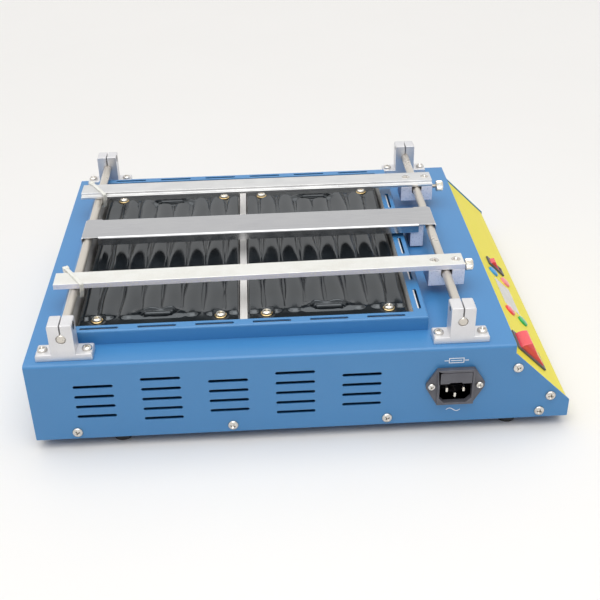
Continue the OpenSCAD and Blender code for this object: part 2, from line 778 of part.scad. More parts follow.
module guide_rod_left() guide_rod(rod_x[0]);
module guide_rod_right() guide_rod(rod_x[1]);

// Clamp bars: X along the bar from the right rod, Y from the ledge side, Z from the rod axis
module on_front_bar() {
    in_case() translate([rod_x[1], front_bar_y, rod_z]) rotate(front_skew) mirror([0, 1, 0]) children();
}

module on_rear_bar() {
    in_case() translate([rod_x[1], rear_bar_y, rod_z]) children();
}

bar_x0 = rod_x[0] - bar_overhang - rod_x[1];
bar_x1 = block_w / 2;
bar_rest = rod_d / 2 + slide_gap;
bar_screw_l = bar_t + 7;
thumb_out = [3, 5];
shank_l = block_w / 2 - rod_d / 2 - slide_gap + thumb_out[0];

module clamp_bar() {
    color([0.84, 0.84, 0.85]) difference() {
        translate([bar_x0, -bar_w / 2, bar_rest]) along_x(bar_x1 - bar_x0)
            polygon([[0, 0], [bar_w, 0], [bar_w, bar_t], [ledge_w, bar_t],
                [ledge_w, bar_t - ledge_drop], [0, bar_t - ledge_drop]]);
        at_bar_screws() {
            sink = (head_d - m4_d) / 2;
            translate([0, 0, -sink]) cylinder(d1 = m4_d, d2 = head_d, h = sink);
            translate([0, 0, -bar_t - cut]) cylinder(d = m4_hole, h = bar_t + cut);
        }
    }
}

// Places a child at the two block screws, on top of the bar
module at_bar_screws() {
    for (side = [-1, 1])
        translate([side * bar_screw_off, ledge_w / 2, bar_rest + bar_t]) children();
}

module clamp_block() {
    depth = bar_w;
    color([0.72, 0.72, 0.76]) difference() {
        translate([-block_w / 2, -depth / 2, bar_rest - block_h]) cube([block_w, depth, block_h]);
        translate([-notch_w / 2, -depth / 2 - cut, 0]) cube([notch_w, depth + 2 * cut, block_h]);
        rotate([90, 0, 0]) cylinder(d = notch_w, h = depth + 2 * cut, center = true);
        translate([0, -thumb_off, 0]) rotate([0, 90, 0])
            cylinder(d = thumb_shank_d + 2 * fit_gap, h = block_w);
        at_bar_screws() translate([0, 0, -bar_screw_l]) cylinder(d = m4_d + 2 * fit_gap, h = bar_screw_l);
    }
}

module bar_screws() {
    color([0.75, 0.72, 0.66]) at_bar_screws() flat_screw(bar_screw_l - fit_gap);
}

// A thumbscrew along X with a straight knurl and a chamfered head
module thumbscrew(out) {
    tip = block_w / 2 + out;
    color([0.78, 0.74, 0.66]) translate([0, -thumb_off, 0]) rotate([0, 90, 0]) {
        translate([0, 0, tip - shank_l]) cylinder(d = thumb_shank_d, h = shank_l);
        translate([0, 0, tip]) intersection() {
            linear_extrude(thumb_l) polygon([for (i = [0 : 2 * knurl_n - 1])
                let (r = thumb_d / 2 - (i % 2) * thumb_d / 24, a = i * 180 / knurl_n)
                [r * cos(a), r * sin(a)]]);
            union() {
                cylinder(d1 = thumb_d - 1.5, d2 = thumb_d + 0.5, h = 1);
                translate([0, 0, 1]) cylinder(d = thumb_d + 0.5, h = thumb_l - 2);
                translate([0, 0, thumb_l - 1]) cylinder(d1 = thumb_d + 0.5, d2 = thumb_d - 1.5, h = 1);
            }
        }
    }
}

// A cable tie round the bar and the left rod, on the diagonal
module cable_tie() {
    half_top = (bar_w / 2 + tie_w / 2 * sin(tie_lean)) / cos(tie_lean) + fit_gap;
    half_low = (rod_d / 2 + slide_gap + tie_w / 2 * cos(tie_lean)) / sin(tie_lean);
    top = bar_rest + bar_t + fit_gap;
    low = -rod_d / 2 - slide_gap;
    head = [5, 4.5, 5];
    color([0.93, 0.93, 0.90]) translate([rod_x[0] - rod_x[1], 0, 0]) rotate(tie_lean) {
        translate([-tie_w / 2, 0, 0]) along_x(tie_w) difference() {
            polygon([[-half_low - tie_t, low - tie_t], [half_low + tie_t, low - tie_t],
                [half_top + tie_t, bar_rest - tie_t], [half_top + tie_t, top + tie_t],
                [-half_top - tie_t, top + tie_t], [-half_top - tie_t, bar_rest - tie_t]]);
            polygon([[-half_low, low], [half_low, low], [half_top, bar_rest - fit_gap],
                [half_top, top], [-half_top, top], [-half_top, bar_rest - fit_gap]]);
        }
        translate([-head[0] / 2, half_top + tie_t / 2, top + tie_t - head[2]]) cube(head);
    }
}

module front_clamp_bar() on_front_bar() clamp_bar();
module front_clamp_block() on_front_bar() clamp_block();
module front_bar_screws() on_front_bar() bar_screws();
module front_thumbscrew() on_front_bar() thumbscrew(thumb_out[0]);
module front_cable_tie() on_front_bar() mirror([0, 1, 0]) cable_tie();
module rear_clamp_bar() on_rear_bar() clamp_bar();
module rear_clamp_block() on_rear_bar() clamp_block();
module rear_bar_screws() on_rear_bar() bar_screws();
module rear_thumbscrew() on_rear_bar() thumbscrew(thumb_out[1]);
module rear_cable_tie() on_rear_bar() cable_tie();

// Sheet channel that carries the middle of the board: lips outside the rods, flanges between them
flange_in = [6.5, 7];

module board_channel() {
    lip_x = [rod_x[0] - rod_d / 2 - slide_gap - channel_t, rod_x[1] + rod_d / 2 + slide_gap + channel_t];
    wall_x = [rod_x[0] + rod_d / 2 + flange_in[0], rod_x[1] - rod_d / 2 - flange_in[1]];
    top = bar_z + channel_t;
    low = [lip_x[0], channel_y - channel_w / 2, top - channel_flange_h];
    high = [lip_x[1], channel_y + channel_w / 2, top];
    wall = [channel_t, channel_t, channel_t];
    color([0.70, 0.70, 0.71]) in_case() union() {
        difference() {
            folded_box(low, high, channel_r);
            folded_box(low + [channel_t, channel_t, -cut], high - wall, channel_r - channel_t);
            for (x = [[lip_x[0] + channel_t, wall_x[0]], [wall_x[1], lip_x[1] - channel_t]])
                translate([x[0], low[1] - cut, low[2] - cut])
                    cube([x[1] - x[0], channel_w + 2 * cut, bar_z - low[2] + cut]);
        }
        // Over the rods the sheet stays flat up to its cut edges
        for (x = [[lip_x[0] + channel_r, wall_x[0]], [wall_x[1], lip_x[1] - channel_r]])
            translate([x[0], low[1], bar_z]) cube([x[1] - x[0], channel_w, channel_t]);
    }
}

// The guide block fills the channel between its bends and ends just above the case
guide_out = 2;

module channel_guide_block() {
    x0 = rod_x[1] - rod_d / 2 - guide_out - guide_w;
    depth = channel_w - 2 * channel_r;
    z0 = top_z + guide_rise;
    color([0.74, 0.74, 0.77]) in_case() translate([x0, channel_y - depth / 2, z0])
        cube([guide_w, depth, bar_z - z0]);
}

// Mains inlet with its fuse drawer: X across, Y into the case, Z up, from the inlet's middle
module on_inlet() in_case() translate([inlet_x, 0, inlet_z]) children();

// The inlet reaches further below its screws than above them
inlet_drop = 0.9;
inlet_ear = 2;
inlet_rim_w = 31;
inlet_body_w = 29;
inlet_edge = 0.8;
inlet_body_h = inlet_h - 2 * inlet_edge;
inlet_body_d = 26;
inlet_front = -inlet_t - inlet_rim;
socket_w = 27;
socket_h = 18.4;
socket_rise = -7.1;
socket_bevel = 4.5;
socket_d = 19;
pocket_w = 27;
pocket_h = 11.2;
pocket_rise = 8.5;
pocket_d = 24;
blade = [2, 4];
// Pins: across, up from the socket's middle, and the depth of the tip
pin_at = [[-7, 2.8, -3], [7, 2.8, -3], [0, -2.6, -3]];
pin_tail = 9;
drawer_rise = 0.2;
drawer_notch = [10, 1];
fuse_d = 5;
fuse_l = 20;

module at_inlet_screws() {
    for (side = [-1, 1]) translate([side * inlet_pitch / 2, 0, 0]) rotate([90, 0, 0]) children();
}

module inlet_body() {
    low = -inlet_h / 2 - inlet_drop;
    high = inlet_h / 2 - inlet_drop;
    w = [inlet_rim_w / 2, inlet_w / 2];
    bevel = socket_bevel;
    color([0.08, 0.08, 0.09]) on_inlet() difference() {
        union() {
            translate([0, -inlet_t, 0]) along_y(inlet_t)
                polygon([[-w[1], -inlet_ear], [-w[0], low], [w[0], low], [w[1], -inlet_ear],
                    [w[1], inlet_ear], [w[0], high], [-w[0], high], [-w[1], inlet_ear]]);
            translate([-w[0], inlet_front, low]) cube([inlet_rim_w, -inlet_front, inlet_h]);
            translate([-inlet_body_w / 2, 0, -inlet_body_h / 2 - inlet_drop])
                cube([inlet_body_w, inlet_body_d, inlet_body_h]);
        }
        translate([0, inlet_front - cut, socket_rise]) along_y(socket_d - inlet_front + cut)
            polygon([[-socket_w / 2, socket_h / 2], [-socket_w / 2, bevel - socket_h / 2],
                [bevel - socket_w / 2, -socket_h / 2], [socket_w / 2 - bevel, -socket_h / 2],
                [socket_w / 2, bevel - socket_h / 2], [socket_w / 2, socket_h / 2]]);
        translate([-pocket_w / 2, inlet_front - cut, pocket_rise - pocket_h / 2])
            cube([pocket_w, pocket_d - inlet_front + cut, pocket_h]);
        for (p = pin_at)
            translate([p[0] - blade[0] / 2 - fit_gap, 0, socket_rise + p[1] - blade[1] / 2 - fit_gap])
                cube([blade[0] + 2 * fit_gap, inlet_body_d + cut, blade[1] + 2 * fit_gap]);
        at_inlet_screws() translate([0, 0, -cut]) cylinder(d = m4_hole, h = inlet_t + 2 * cut);
    }
}

module inlet_pins() {
    color([0.80, 0.78, 0.74]) on_inlet() for (p = pin_at)
        translate([p[0] - blade[0] / 2, p[2], socket_rise + p[1] - blade[1] / 2])
            cube([blade[0], inlet_body_d + pin_tail - p[2], blade[1]]);
}

module inlet_screws() {
    color([0.75, 0.75, 0.77]) on_inlet() at_inlet_screws() {
        translate([0, 0, inlet_t]) pan_screw(screw_l, 6.5, 2.2);
        translate([0, 0, -sheet_t]) nut();
    }
}

module fuse_drawer() {
    w = pocket_w - 2 * slide_gap;
    h = pocket_h - 2 * slide_gap;
    front = inlet_front - drawer_rise;
    back = pocket_d - drawer_rise;
    wall = 2;
    color([0.10, 0.10, 0.11]) on_inlet() difference() {
        translate([-w / 2, front, pocket_rise - h / 2]) cube([w, back - front, h]);
        translate([-fuse_l / 2 - slide_gap, wall, pocket_rise - fuse_d / 2 - slide_gap])
            cube([fuse_l + 2 * slide_gap, fuse_d + 2 * slide_gap, h]);
        // Notch for a fingernail in the lower edge
        translate([-drawer_notch[0] / 2, front - cut, pocket_rise - h / 2 - cut])
            cube([drawer_notch[0], wall + cut, drawer_notch[1] + cut]);
    }
}

module fuse() {
    cap_l = 5;
    r = fuse_d / 2;
    color([0.85, 0.85, 0.86]) on_inlet()
        translate([-fuse_l / 2, 2 + slide_gap + r, pocket_rise - slide_gap]) rotate([0, 90, 0]) {
            for (x = [0, fuse_l - cap_l]) translate([0, 0, x]) cylinder(r = r, h = cap_l);
            translate([0, 0, cap_l]) cylinder(r = r - 0.3, h = fuse_l - 2 * cap_l);
        }
}

// Rocker switches: X down the slope from the pivot, Z out of the panel from the panel face
rocker_wall = 2.4;
rocker_gap = 0.4;
bezel_rim = 1.2;
rocker_body_d = 20;
pivot_z = -panel_inset - 0.8;
// Angle of a rocker's end edges above its pivot, and the dip where its two faces meet
rocker_crest = 32;
rocker_dip = 0.8;

module rocker_cutout(l, w) {
    cube([l - 2 * bezel_rim + slide_gap, w - 2 * bezel_rim + slide_gap, rocker_body_d], center = true);
}

module rocker_housing(l, w) {
    bl = l - 2 * bezel_rim - slide_gap;
    bw = w - 2 * bezel_rim - slide_gap;
    depth = rocker_body_d;
    color([0.09, 0.09, 0.10]) difference() {
        union() {
            translate([-l / 2, -w / 2, -panel_inset]) cube([l, w, bezel_h]);
            translate([-bl / 2, -bw / 2, -depth]) cube([bl, bw, depth - panel_inset]);
            for (i = [-1, 0, 1])
                translate([i * l / 4 - 0.4, -3, -depth - 8]) cube([0.8, 6, 8.5]);
        }
        translate([-l / 2 + rocker_wall, -w / 2 + rocker_wall, -depth + 4])
            cube([l - 2 * rocker_wall, w - 2 * rocker_wall, depth]);
        translate([0, 0, pivot_z]) rotate([90, 0, 0])
            cylinder(d = rocker_pin_d + 2 * fit_gap, h = w - rocker_wall, center = true);
    }
}

// A rocker at rest: its upper end stands out of the bezel, and its ends are round about the pivot
module rocker(l, w) {
    reach = l / 2 - rocker_wall - rocker_gap;
    width = w - 2 * rocker_wall - 2 * slide_gap;
    top = reach * sin(rocker_crest);
    foot = reach / 2;
    color([0.85, 0.16, 0.16]) translate([0, 0, pivot_z]) rotate([0, rocker_tilt, 0]) {
        intersection() {
            rotate([90, 0, 0]) cylinder(r = reach, h = 2 * width, center = true);
            translate([0, -width / 2, 0]) along_y(width)
                polygon([[-reach, top], [0, top - rocker_dip], [reach, top], [reach, -foot / 2],
                    [foot, -foot], [-foot, -foot], [-reach, -foot / 2]]);
        }
        rotate([90, 0, 0]) cylinder(d = rocker_pin_d, h = w - rocker_wall - 2 * slide_gap, center = true);
    }
}

module power_switch() on_slope(power_s, power_y) rocker_housing(power_l, power_w);
module power_rocker() on_slope(power_s, power_y) rocker(power_l, power_w);
module heater_switch() on_slope(row_s, heat_switch_y) rocker_housing(heat_switch_l, heat_switch_w);
module heater_rocker() on_slope(row_s, heat_switch_y) rocker(heat_switch_l, heat_switch_w);

// Push buttons, their switches and the display
button_at = [[-button_off, button_rear_y], [button_off, button_rear_y],
    [-button_off, button_front_y], [button_off, button_front_y]];
button_rise = 2.5;
button_dome = 0.8;
collar_t = 1;
stem_d = 3.4;
switch_h = 6;
switch_w = 9;

module at_buttons() {
    for (p = button_at) on_slope(row_s + p[0], p[1]) children();
}

module button(i, shade) {
    collar_z = under_panel - slide_gap - collar_t;
    stem_z = board_z + board_t + button_travel;
    r = (button_d * button_d / 4 + button_dome * button_dome) / (2 * button_dome);
    color(shade) on_slope(row_s + button_at[i][0], button_at[i][1]) {
        translate([0, 0, collar_z]) cylinder(d = button_d + 2.5, h = collar_t);
        intersection() {
            translate([0, 0, collar_z]) cylinder(d = button_d, h = button_rise - collar_z);
            translate([0, 0, button_rise - panel_inset - r]) sphere(r = r);
        }
        translate([0, 0, stem_z]) cylinder(d = stem_d, h = collar_z - stem_z);
    }
}

module button_blue() button(0, [0.25, 0.55, 0.85]);
module button_pink() button(1, [0.95, 0.60, 0.62]);
module button_red() button(2, [0.85, 0.20, 0.22]);
module button_green() button(3, [0.10, 0.62, 0.28]);

module button_switches() {
    color([0.15, 0.15, 0.16]) at_buttons() translate([0, 0, board_z]) difference() {
        translate([-switch_w / 2, -switch_w / 2, 0]) cube([switch_w, switch_w, switch_h]);
        translate([0, 0, board_t / 2]) cylinder(d = stem_d + 2 * fit_gap + 0.1, h = switch_h);
    }
}

module display_window() {
    rim = 2;
    color([0.70, 0.69, 0.70]) on_slope(row_s, display_y) {
        translate([-display_w / 2, -display_l / 2, under_panel]) cube([display_w, display_l, panel_t]);
        translate([-display_w / 2 - rim, -display_l / 2 - rim, under_panel - collar_t])
            cube([display_w + 2 * rim, display_l + 2 * rim, collar_t]);
    }
}

module display_module() {
    color([0.16, 0.16, 0.17]) on_slope(row_s, display_y)
        translate([-display_w / 2 + 1, -display_l / 2 + 1, board_z])
            cube([display_w - 2, display_l - 2, board_depth - collar_t - fit_gap]);
}

module control_board() {
    color([0.10, 0.38, 0.20]) on_slope(0, 0) difference() {
        translate([board_s0, board_y0, board_z - board_t])
            cube([board_s1 - board_s0, board_y1 - board_y0, board_t]);
        at_spacers() translate([0, 0, board_z - board_t - cut])
            cylinder(d = spacer_bore, h = board_t + 2 * cut);
    }
}

spacer_d = 5;
spacer_bore = 3;
spacer_out = 8;

module at_spacers() {
    for (s = [board_s0 + spacer_d, board_s1 - spacer_d], side = [-1, 1])
        translate([s, display_y + side * (display_l / 2 + spacer_out), 0]) children();
}

module board_spacers() {
    color([0.75, 0.75, 0.76]) on_slope(0, 0) at_spacers() translate([0, 0, board_z]) difference() {
        cylinder(d = spacer_d, h = board_depth);
        translate([0, 0, -cut]) cylinder(d = spacer_bore, h = board_depth / 2);
    }
}

// Power parts on the base plate
base_top = foot_h + sheet_t;
sink_l = 60;
sink_d = 70;
sink_base = 4;
sink_h = 26;
relay_l = 45;
relay_d = 58;
relay_h = 22;
ways = 6;
way_pitch = 12;
way_l = 22;
way_h = 18;
way_bore = 6;
sink_x = open_x1 + tray_t + 14;
sink_y = case_d - 40 - sink_d;

module relay_heatsink() {
    fins = 8;
    fin_t = 2;
    color([0.68, 0.68, 0.70]) in_case() translate([sink_x, sink_y, base_top]) {
        for (i = [0 : fins - 1])
            translate([i * (sink_l - fin_t) / (fins - 1), 0, 0]) cube([fin_t, sink_d, sink_h - sink_base]);
        translate([0, 0, sink_h - sink_base]) cube([sink_l, sink_d, sink_base]);
    }
}

module power_relay() {
    size = [relay_l, relay_d, relay_h];
    color([0.88, 0.88, 0.86]) in_case()
        translate([sink_x + (sink_l - size[0]) / 2, sink_y + (sink_d - size[1]) / 2, base_top + sink_h])
            cube(size);
}

module terminal_block() {
    size = [way_l, ways * way_pitch, way_h];
    color([0.86, 0.85, 0.80]) in_case() translate([sink_x, case_d / 2 - size[1] / 2, base_top])
        difference() {
            cube(size);
            for (i = [0 : ways - 1], x = [way_bore, way_l - way_bore])
                translate([x, (i + 0.5) * way_pitch, way_h / 2]) cylinder(d = way_bore, h = way_h);
        }
}

module earth_stud() {
    color([0.80, 0.66, 0.32]) in_case() translate([inlet_x - inlet_w, 40, base_top]) {
        cylinder(d = 4, h = 16);
        cylinder(d = nut_d, h = nut_h, $fn = 6);
        translate([0, 0, nut_h + 2]) cylinder(d = nut_d, h = nut_h, $fn = 6);
    }
}

// Feet and case screws
module feet() {
    recess = 5;
    color([0.10, 0.10, 0.10]) in_case() for (x = foot_x, y = foot_y) translate([x, y, 0]) difference() {
        cylinder(d1 = foot_d - 2, d2 = foot_d, h = foot_h);
        translate([0, 0, -cut]) cylinder(d = head_d + 1, h = recess + cut);
        cylinder(d = m4_hole, h = foot_h + cut);
    }
}

module foot_screws() {
    recess = 5;
    color([0.70, 0.70, 0.72]) in_case() for (x = foot_x, y = foot_y) {
        translate([x, y, recess]) rotate([180, 0, 0]) pan_screw(foot_h - recess + sheet_t + nut_h + 1);
        translate([x, y, base_top]) rotate([180, 0, 0]) nut();
    }
}

module case_screws() {
    color([0.80, 0.80, 0.80]) in_case() at_case_screws() pan_screw(screw_l, 9, head_h);
}

base_plate();
cover();
control_panel();
heater_frame();
reflector_tray();
insulation_board();
heater_plate_left();
heater_plate_right();
divider_strip();
heater_screws();
heater_standoffs();
heater_terminals();
thermocouple();
support_front_left();
support_front_right();
support_rear_left();
support_rear_right();
support_screws();
support_nuts();
support_clamp_screws();
guide_rod_left();
guide_rod_right();
front_clamp_bar();
front_clamp_block();
front_bar_screws();
front_thumbscrew();
front_cable_tie();
rear_clamp_bar();
rear_clamp_block();
rear_bar_screws();
rear_thumbscrew();
rear_cable_tie();
board_channel();
channel_guide_block();
inlet_body();
inlet_pins();
inlet_screws();
fuse_drawer();
fuse();
power_switch();
power_rocker();
heater_switch();
heater_rocker();
button_blue();
button_pink();
button_red();
button_green();
button_switches();
display_window();
display_module();
control_board();
board_spacers();
power_relay();
relay_heatsink();
terminal_block();
earth_stud();
feet();
foot_screws();
case_screws();
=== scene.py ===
import json
import math

import bmesh
import bpy
from mathutils import Matrix, Vector


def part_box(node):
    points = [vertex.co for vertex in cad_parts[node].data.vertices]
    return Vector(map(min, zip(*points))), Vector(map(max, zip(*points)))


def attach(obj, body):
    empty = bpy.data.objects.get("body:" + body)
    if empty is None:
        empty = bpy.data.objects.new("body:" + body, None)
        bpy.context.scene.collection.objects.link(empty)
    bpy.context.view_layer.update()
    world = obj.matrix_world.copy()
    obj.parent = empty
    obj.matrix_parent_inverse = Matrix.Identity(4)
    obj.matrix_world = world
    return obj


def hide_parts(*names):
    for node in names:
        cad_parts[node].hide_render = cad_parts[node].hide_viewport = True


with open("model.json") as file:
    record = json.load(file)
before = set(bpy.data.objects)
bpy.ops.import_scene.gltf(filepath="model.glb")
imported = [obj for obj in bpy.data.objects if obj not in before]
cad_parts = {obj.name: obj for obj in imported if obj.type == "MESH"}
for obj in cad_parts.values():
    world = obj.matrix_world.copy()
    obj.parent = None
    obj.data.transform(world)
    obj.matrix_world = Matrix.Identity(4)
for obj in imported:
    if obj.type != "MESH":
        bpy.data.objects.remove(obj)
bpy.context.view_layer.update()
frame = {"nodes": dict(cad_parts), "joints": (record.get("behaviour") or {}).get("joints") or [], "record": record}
nodes = frame["nodes"]
joints = {joint["name"]: joint for joint in frame["joints"]}
bodyOf = {node: body for body, members in frame["record"]["behaviour"]["bodies"].items() for node in members}
print("frame loaded:", len(nodes), "nodes")

mm = 0.001
weld = 2e-6  # metres within which doubled vertices of the CAD meshes are joined
breakFrom = 32  # degrees between two faces from which their edge is broken
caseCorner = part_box("cover")[0]  # left, inlet side, bottom of the case


# case millimetres to the frame: x from the left end, y from the inlet side, z from the floor
def spot(x, y, z):
    return Vector((caseCorner.x + x * mm, caseCorner.y + y * mm, z * mm))


def clamp(value, low, high):
    return max(low, min(high, value))


def ease(edge0, edge1, value):
    t = clamp((value - edge0) / (edge1 - edge0), 0, 1)
    return t * t * (3 - 2 * t)


# a colour as it is read off a screen, 0 to 255, made linear
def tint(r, g, b):
    def straight(c):
        c /= 255
        return c / 12.92 if c <= 0.04045 else ((c + 0.055) / 1.055) ** 2.4
    return (straight(r), straight(g), straight(b), 1)


class Wire:
    # a socket of a node tree, so that finishes can be written as sums
    def __init__(self, tree, socket=None):
        self.tree = tree
        self.socket = socket

    # any node: its type, its settings, what goes into its sockets, and the output that is wanted
    def node(self, kind, settings, sockets, out=0):
        made = self.tree.nodes.new(kind)
        for name, value in settings.items():
            setattr(made, name, value)
        for name, value in sockets.items():
            if isinstance(value, Wire):
                self.tree.links.new(value.socket, made.inputs[name])
            else:
                made.inputs[name].default_value = value
        return Wire(self.tree, made.outputs[out])

    def maths(self, operation, *terms):
        return self.node("ShaderNodeMath", {"operation": operation}, dict(enumerate(terms)))

    def __add__(self, other):
        return self.maths("ADD", self, other)

    def __radd__(self, other):
        return self.maths("ADD", other, self)

    def __sub__(self, other):
        return self.maths("SUBTRACT", self, other)

    def __rsub__(self, other):
        return self.maths("SUBTRACT", other, self)

    def __mul__(self, other):
        return self.maths("MULTIPLY", self, other)

    def __rmul__(self, other):
        return self.maths("MULTIPLY", other, self)

    # 0 below low, 1 above high, smooth between
    def rise(self, low, high):
        settings = {"interpolation_type": "SMOOTHSTEP"}
        return self.node("ShaderNodeMapRange", settings, {"Value": self, "From Min": low, "From Max": high})

    # this wire as the share of colour b over colour a
    def blend(self, a, b):
        return self.node("ShaderNodeMix", {"data_type": "RGBA"}, {0: self, 6: a, 7: b}, 2)

    # the place stretched by a factor along each axis
    def along(self, x, y, z):
        return self.node("ShaderNodeVectorMath", {"operation": "MULTIPLY"}, {0: self, 1: (x, y, z)})

    # cloudy grain at this place, scale in turns per millimetre
    def grain(self, scale, detail=2, rough=0.55):
        sockets = {"Vector": self, "Scale": scale, "Detail": detail, "Roughness": rough}
        return self.node("ShaderNodeTexNoise", {}, sockets, "Fac")

    # distance to the nearest of scattered points
    def specks(self, scale):
        return self.node("ShaderNodeTexVoronoi", {}, {"Vector": self, "Scale": scale}, "Distance")

    # a height in millimetres as a bump
    def bump(self, strength, depth):
        sockets = {"Height": self, "Strength": strength, "Distance": depth * mm}
        return self.node("ShaderNodeBump", {}, sockets, "Normal")

    # 1 on edges, 0 on faces; it marks rubbed paint and painted edge highlights
    def edgeMask(self, radius):
        bent = self.node("ShaderNodeBevel", {"samples": 4}, {"Radius": radius * mm})
        flat = self.node("ShaderNodeNewGeometry", {}, {}, "Normal")
        same = self.node("ShaderNodeVectorMath", {"operation": "DOT_PRODUCT"}, {0: bent, 1: flat}, "Value")
        return (1 - same).rise(0.02, 0.25)


# one material: constants go straight on the shader, recipe gives what varies over a place in millimetres
def finish(name, recipe, constants):
    material = bpy.data.materials.new(name)
    material.use_nodes = True
    tree = material.node_tree
    shader = tree.nodes["Principled BSDF"]
    for socket, value in constants.items():
        shader.inputs[socket].default_value = value
    coords = Wire(tree).node("ShaderNodeTexCoord", {}, {}, "Object")
    place = coords.node("ShaderNodeVectorMath", {"operation": "SCALE"}, {0: coords, "Scale": 1000})
    for socket, wire in recipe(place).items():
        tree.links.new(wire.socket, shader.inputs[socket])
    return material


# powder coat: fine orange peel, a slow drift of shade, paler edges that are partly rubbed paint and partly a
# painted highlight
coatGrain = {"drift": 0.012, "peel": 0.55, "fleck": 2.6, "patch": 0.25, "edge": 0.8, "depth": 0.06}


def powderCoat(look):
    def recipe(place):
        drift = place.grain(coatGrain["drift"])
        peel = place.grain(coatGrain["peel"], 3)
        fleck = place.grain(coatGrain["fleck"])
        edge = place.edgeMask(coatGrain["edge"]) * place.grain(coatGrain["patch"], 3).rise(0.25, 0.65)
        shade = drift.blend(look["shade"], look["drift"])
        shade = (fleck.rise(0.45, 0.75) * look["fleckShare"]).blend(shade, look["fleck"])
        # edges blended toward a paler colour, partly rubbed paint and partly a painted highlight
        shade = (edge * look["wornAndLitShare"]).blend(shade, look["wornAndLit"])
        return {"Base Color": shade,
                "Roughness": look["rough"] + (fleck - 0.5) * 0.16 + (drift - 0.5) * 0.1,
                "Normal": (peel + fleck * 0.35).bump(look["bump"], coatGrain["depth"])}
    return recipe


# metal: grain drawn out along the working direction, cloudy tarnish, edges brightened as a painted highlight,
# faces across Y paler as partly a sawn finish and partly painted light, with painted glints on them
metalGrain = {"cloud": 0.05, "spark": 1.7, "fleck": 0.7, "edge": 0.35, "bright": (0.93, 0.93, 0.93, 1)}


def workedMetal(look):
    def recipe(place):
        lines = place.along(*look["draw"]).grain(look["grain"], 3)
        cloud = place.grain(look.get("cloud", metalGrain["cloud"]), 3)
        spark = place.grain(look["grain"] * metalGrain["spark"], 1)
        shade = cloud.rise(0.3, 0.7).blend(look["shade"], look["tarnish"])
        shade = (lines.rise(0.35, 0.75) * look["lineShare"]).blend(shade, look["line"])
        made = {}
        # faces across Y turn paler and less metallic: partly a sawn finish, partly painted light where those faces
        # are lit; the lighter flecks on them are painted glints
        if look.get("sawnAndLit"):
            normal = place.node("ShaderNodeTexCoord", {}, {}, "Normal")
            across = place.node("ShaderNodeSeparateXYZ", {}, {0: normal}, "Y")
            side = place.maths("ABSOLUTE", across).rise(0.6, 0.9)
            fleck = place.grain(metalGrain["fleck"], 1).rise(0.54, 0.68)
            shade = side.blend(shade, fleck.blend(look["sawnAndLit"], look["line"]))
            made["Metallic"] = look["metal"] * (1 - side * (0.85 - fleck * 0.5))
        # edges blended toward near white: a painted highlight
        if look.get("edge"):
            shade = (place.edgeMask(metalGrain["edge"]) * look["edge"]).blend(shade, metalGrain["bright"])
        made["Base Color"] = shade
        made["Roughness"] = look["rough"] + (lines - 0.5) * look["spread"] + (cloud - 0.5) * 0.12
        made["Normal"] = (lines + spark * look.get("spark", 0)).bump(look["bump"], look["depth"])
        return made
    return recipe


# moulded plastic: spark-eroded texture, faint flow marks
mouldGrain = {"pits": 3.5, "flow": 0.12, "depth": 0.04}


def mouldedPlastic(look):
    def recipe(place):
        pits = place.grain(look.get("pits", mouldGrain["pits"]))
        flow = place.along(1, 0.4, 1).grain(mouldGrain["flow"], 3)
        shade = flow.rise(0.3, 0.7).blend(look["shade"], look["flow"])
        return {"Base Color": shade,
                "Roughness": look["rough"] + (pits - 0.5) * 0.18 + (flow - 0.5) * 0.08,
                "Normal": pits.bump(look["bump"], mouldGrain["depth"])}
    return recipe


# black glaze: runs and ripples under a hard gloss, a little dust
glazeGrain = {"skin": 0.9, "specks": 0.22, "bloom": 0.035, "dust": 0.3}


def blackGlaze(look):
    def recipe(place):
        runs = place.along(1, 0.22, 1).grain(look["runs"], 3, 0.5)
        skin = place.grain(glazeGrain["skin"])
        dust = 1 - place.specks(glazeGrain["specks"]).rise(0.05, 0.12)
        bloom = place.grain(glazeGrain["bloom"], 3).rise(0.4, 0.75)
        dusty = place.grain(glazeGrain["dust"]).rise(0.55, 0.7)
        shade = bloom.blend(look["shade"], look["bloom"])
        shade = (dust * dusty * 0.5).blend(shade, look["dust"])
        return {"Base Color": shade,
                "Roughness": look["rough"] + bloom * 0.05 + (skin - 0.5) * 0.06 + dust * 0.1,
                "Normal": (runs + skin * 0.08).bump(look["bump"], look["depth"])}
    return recipe
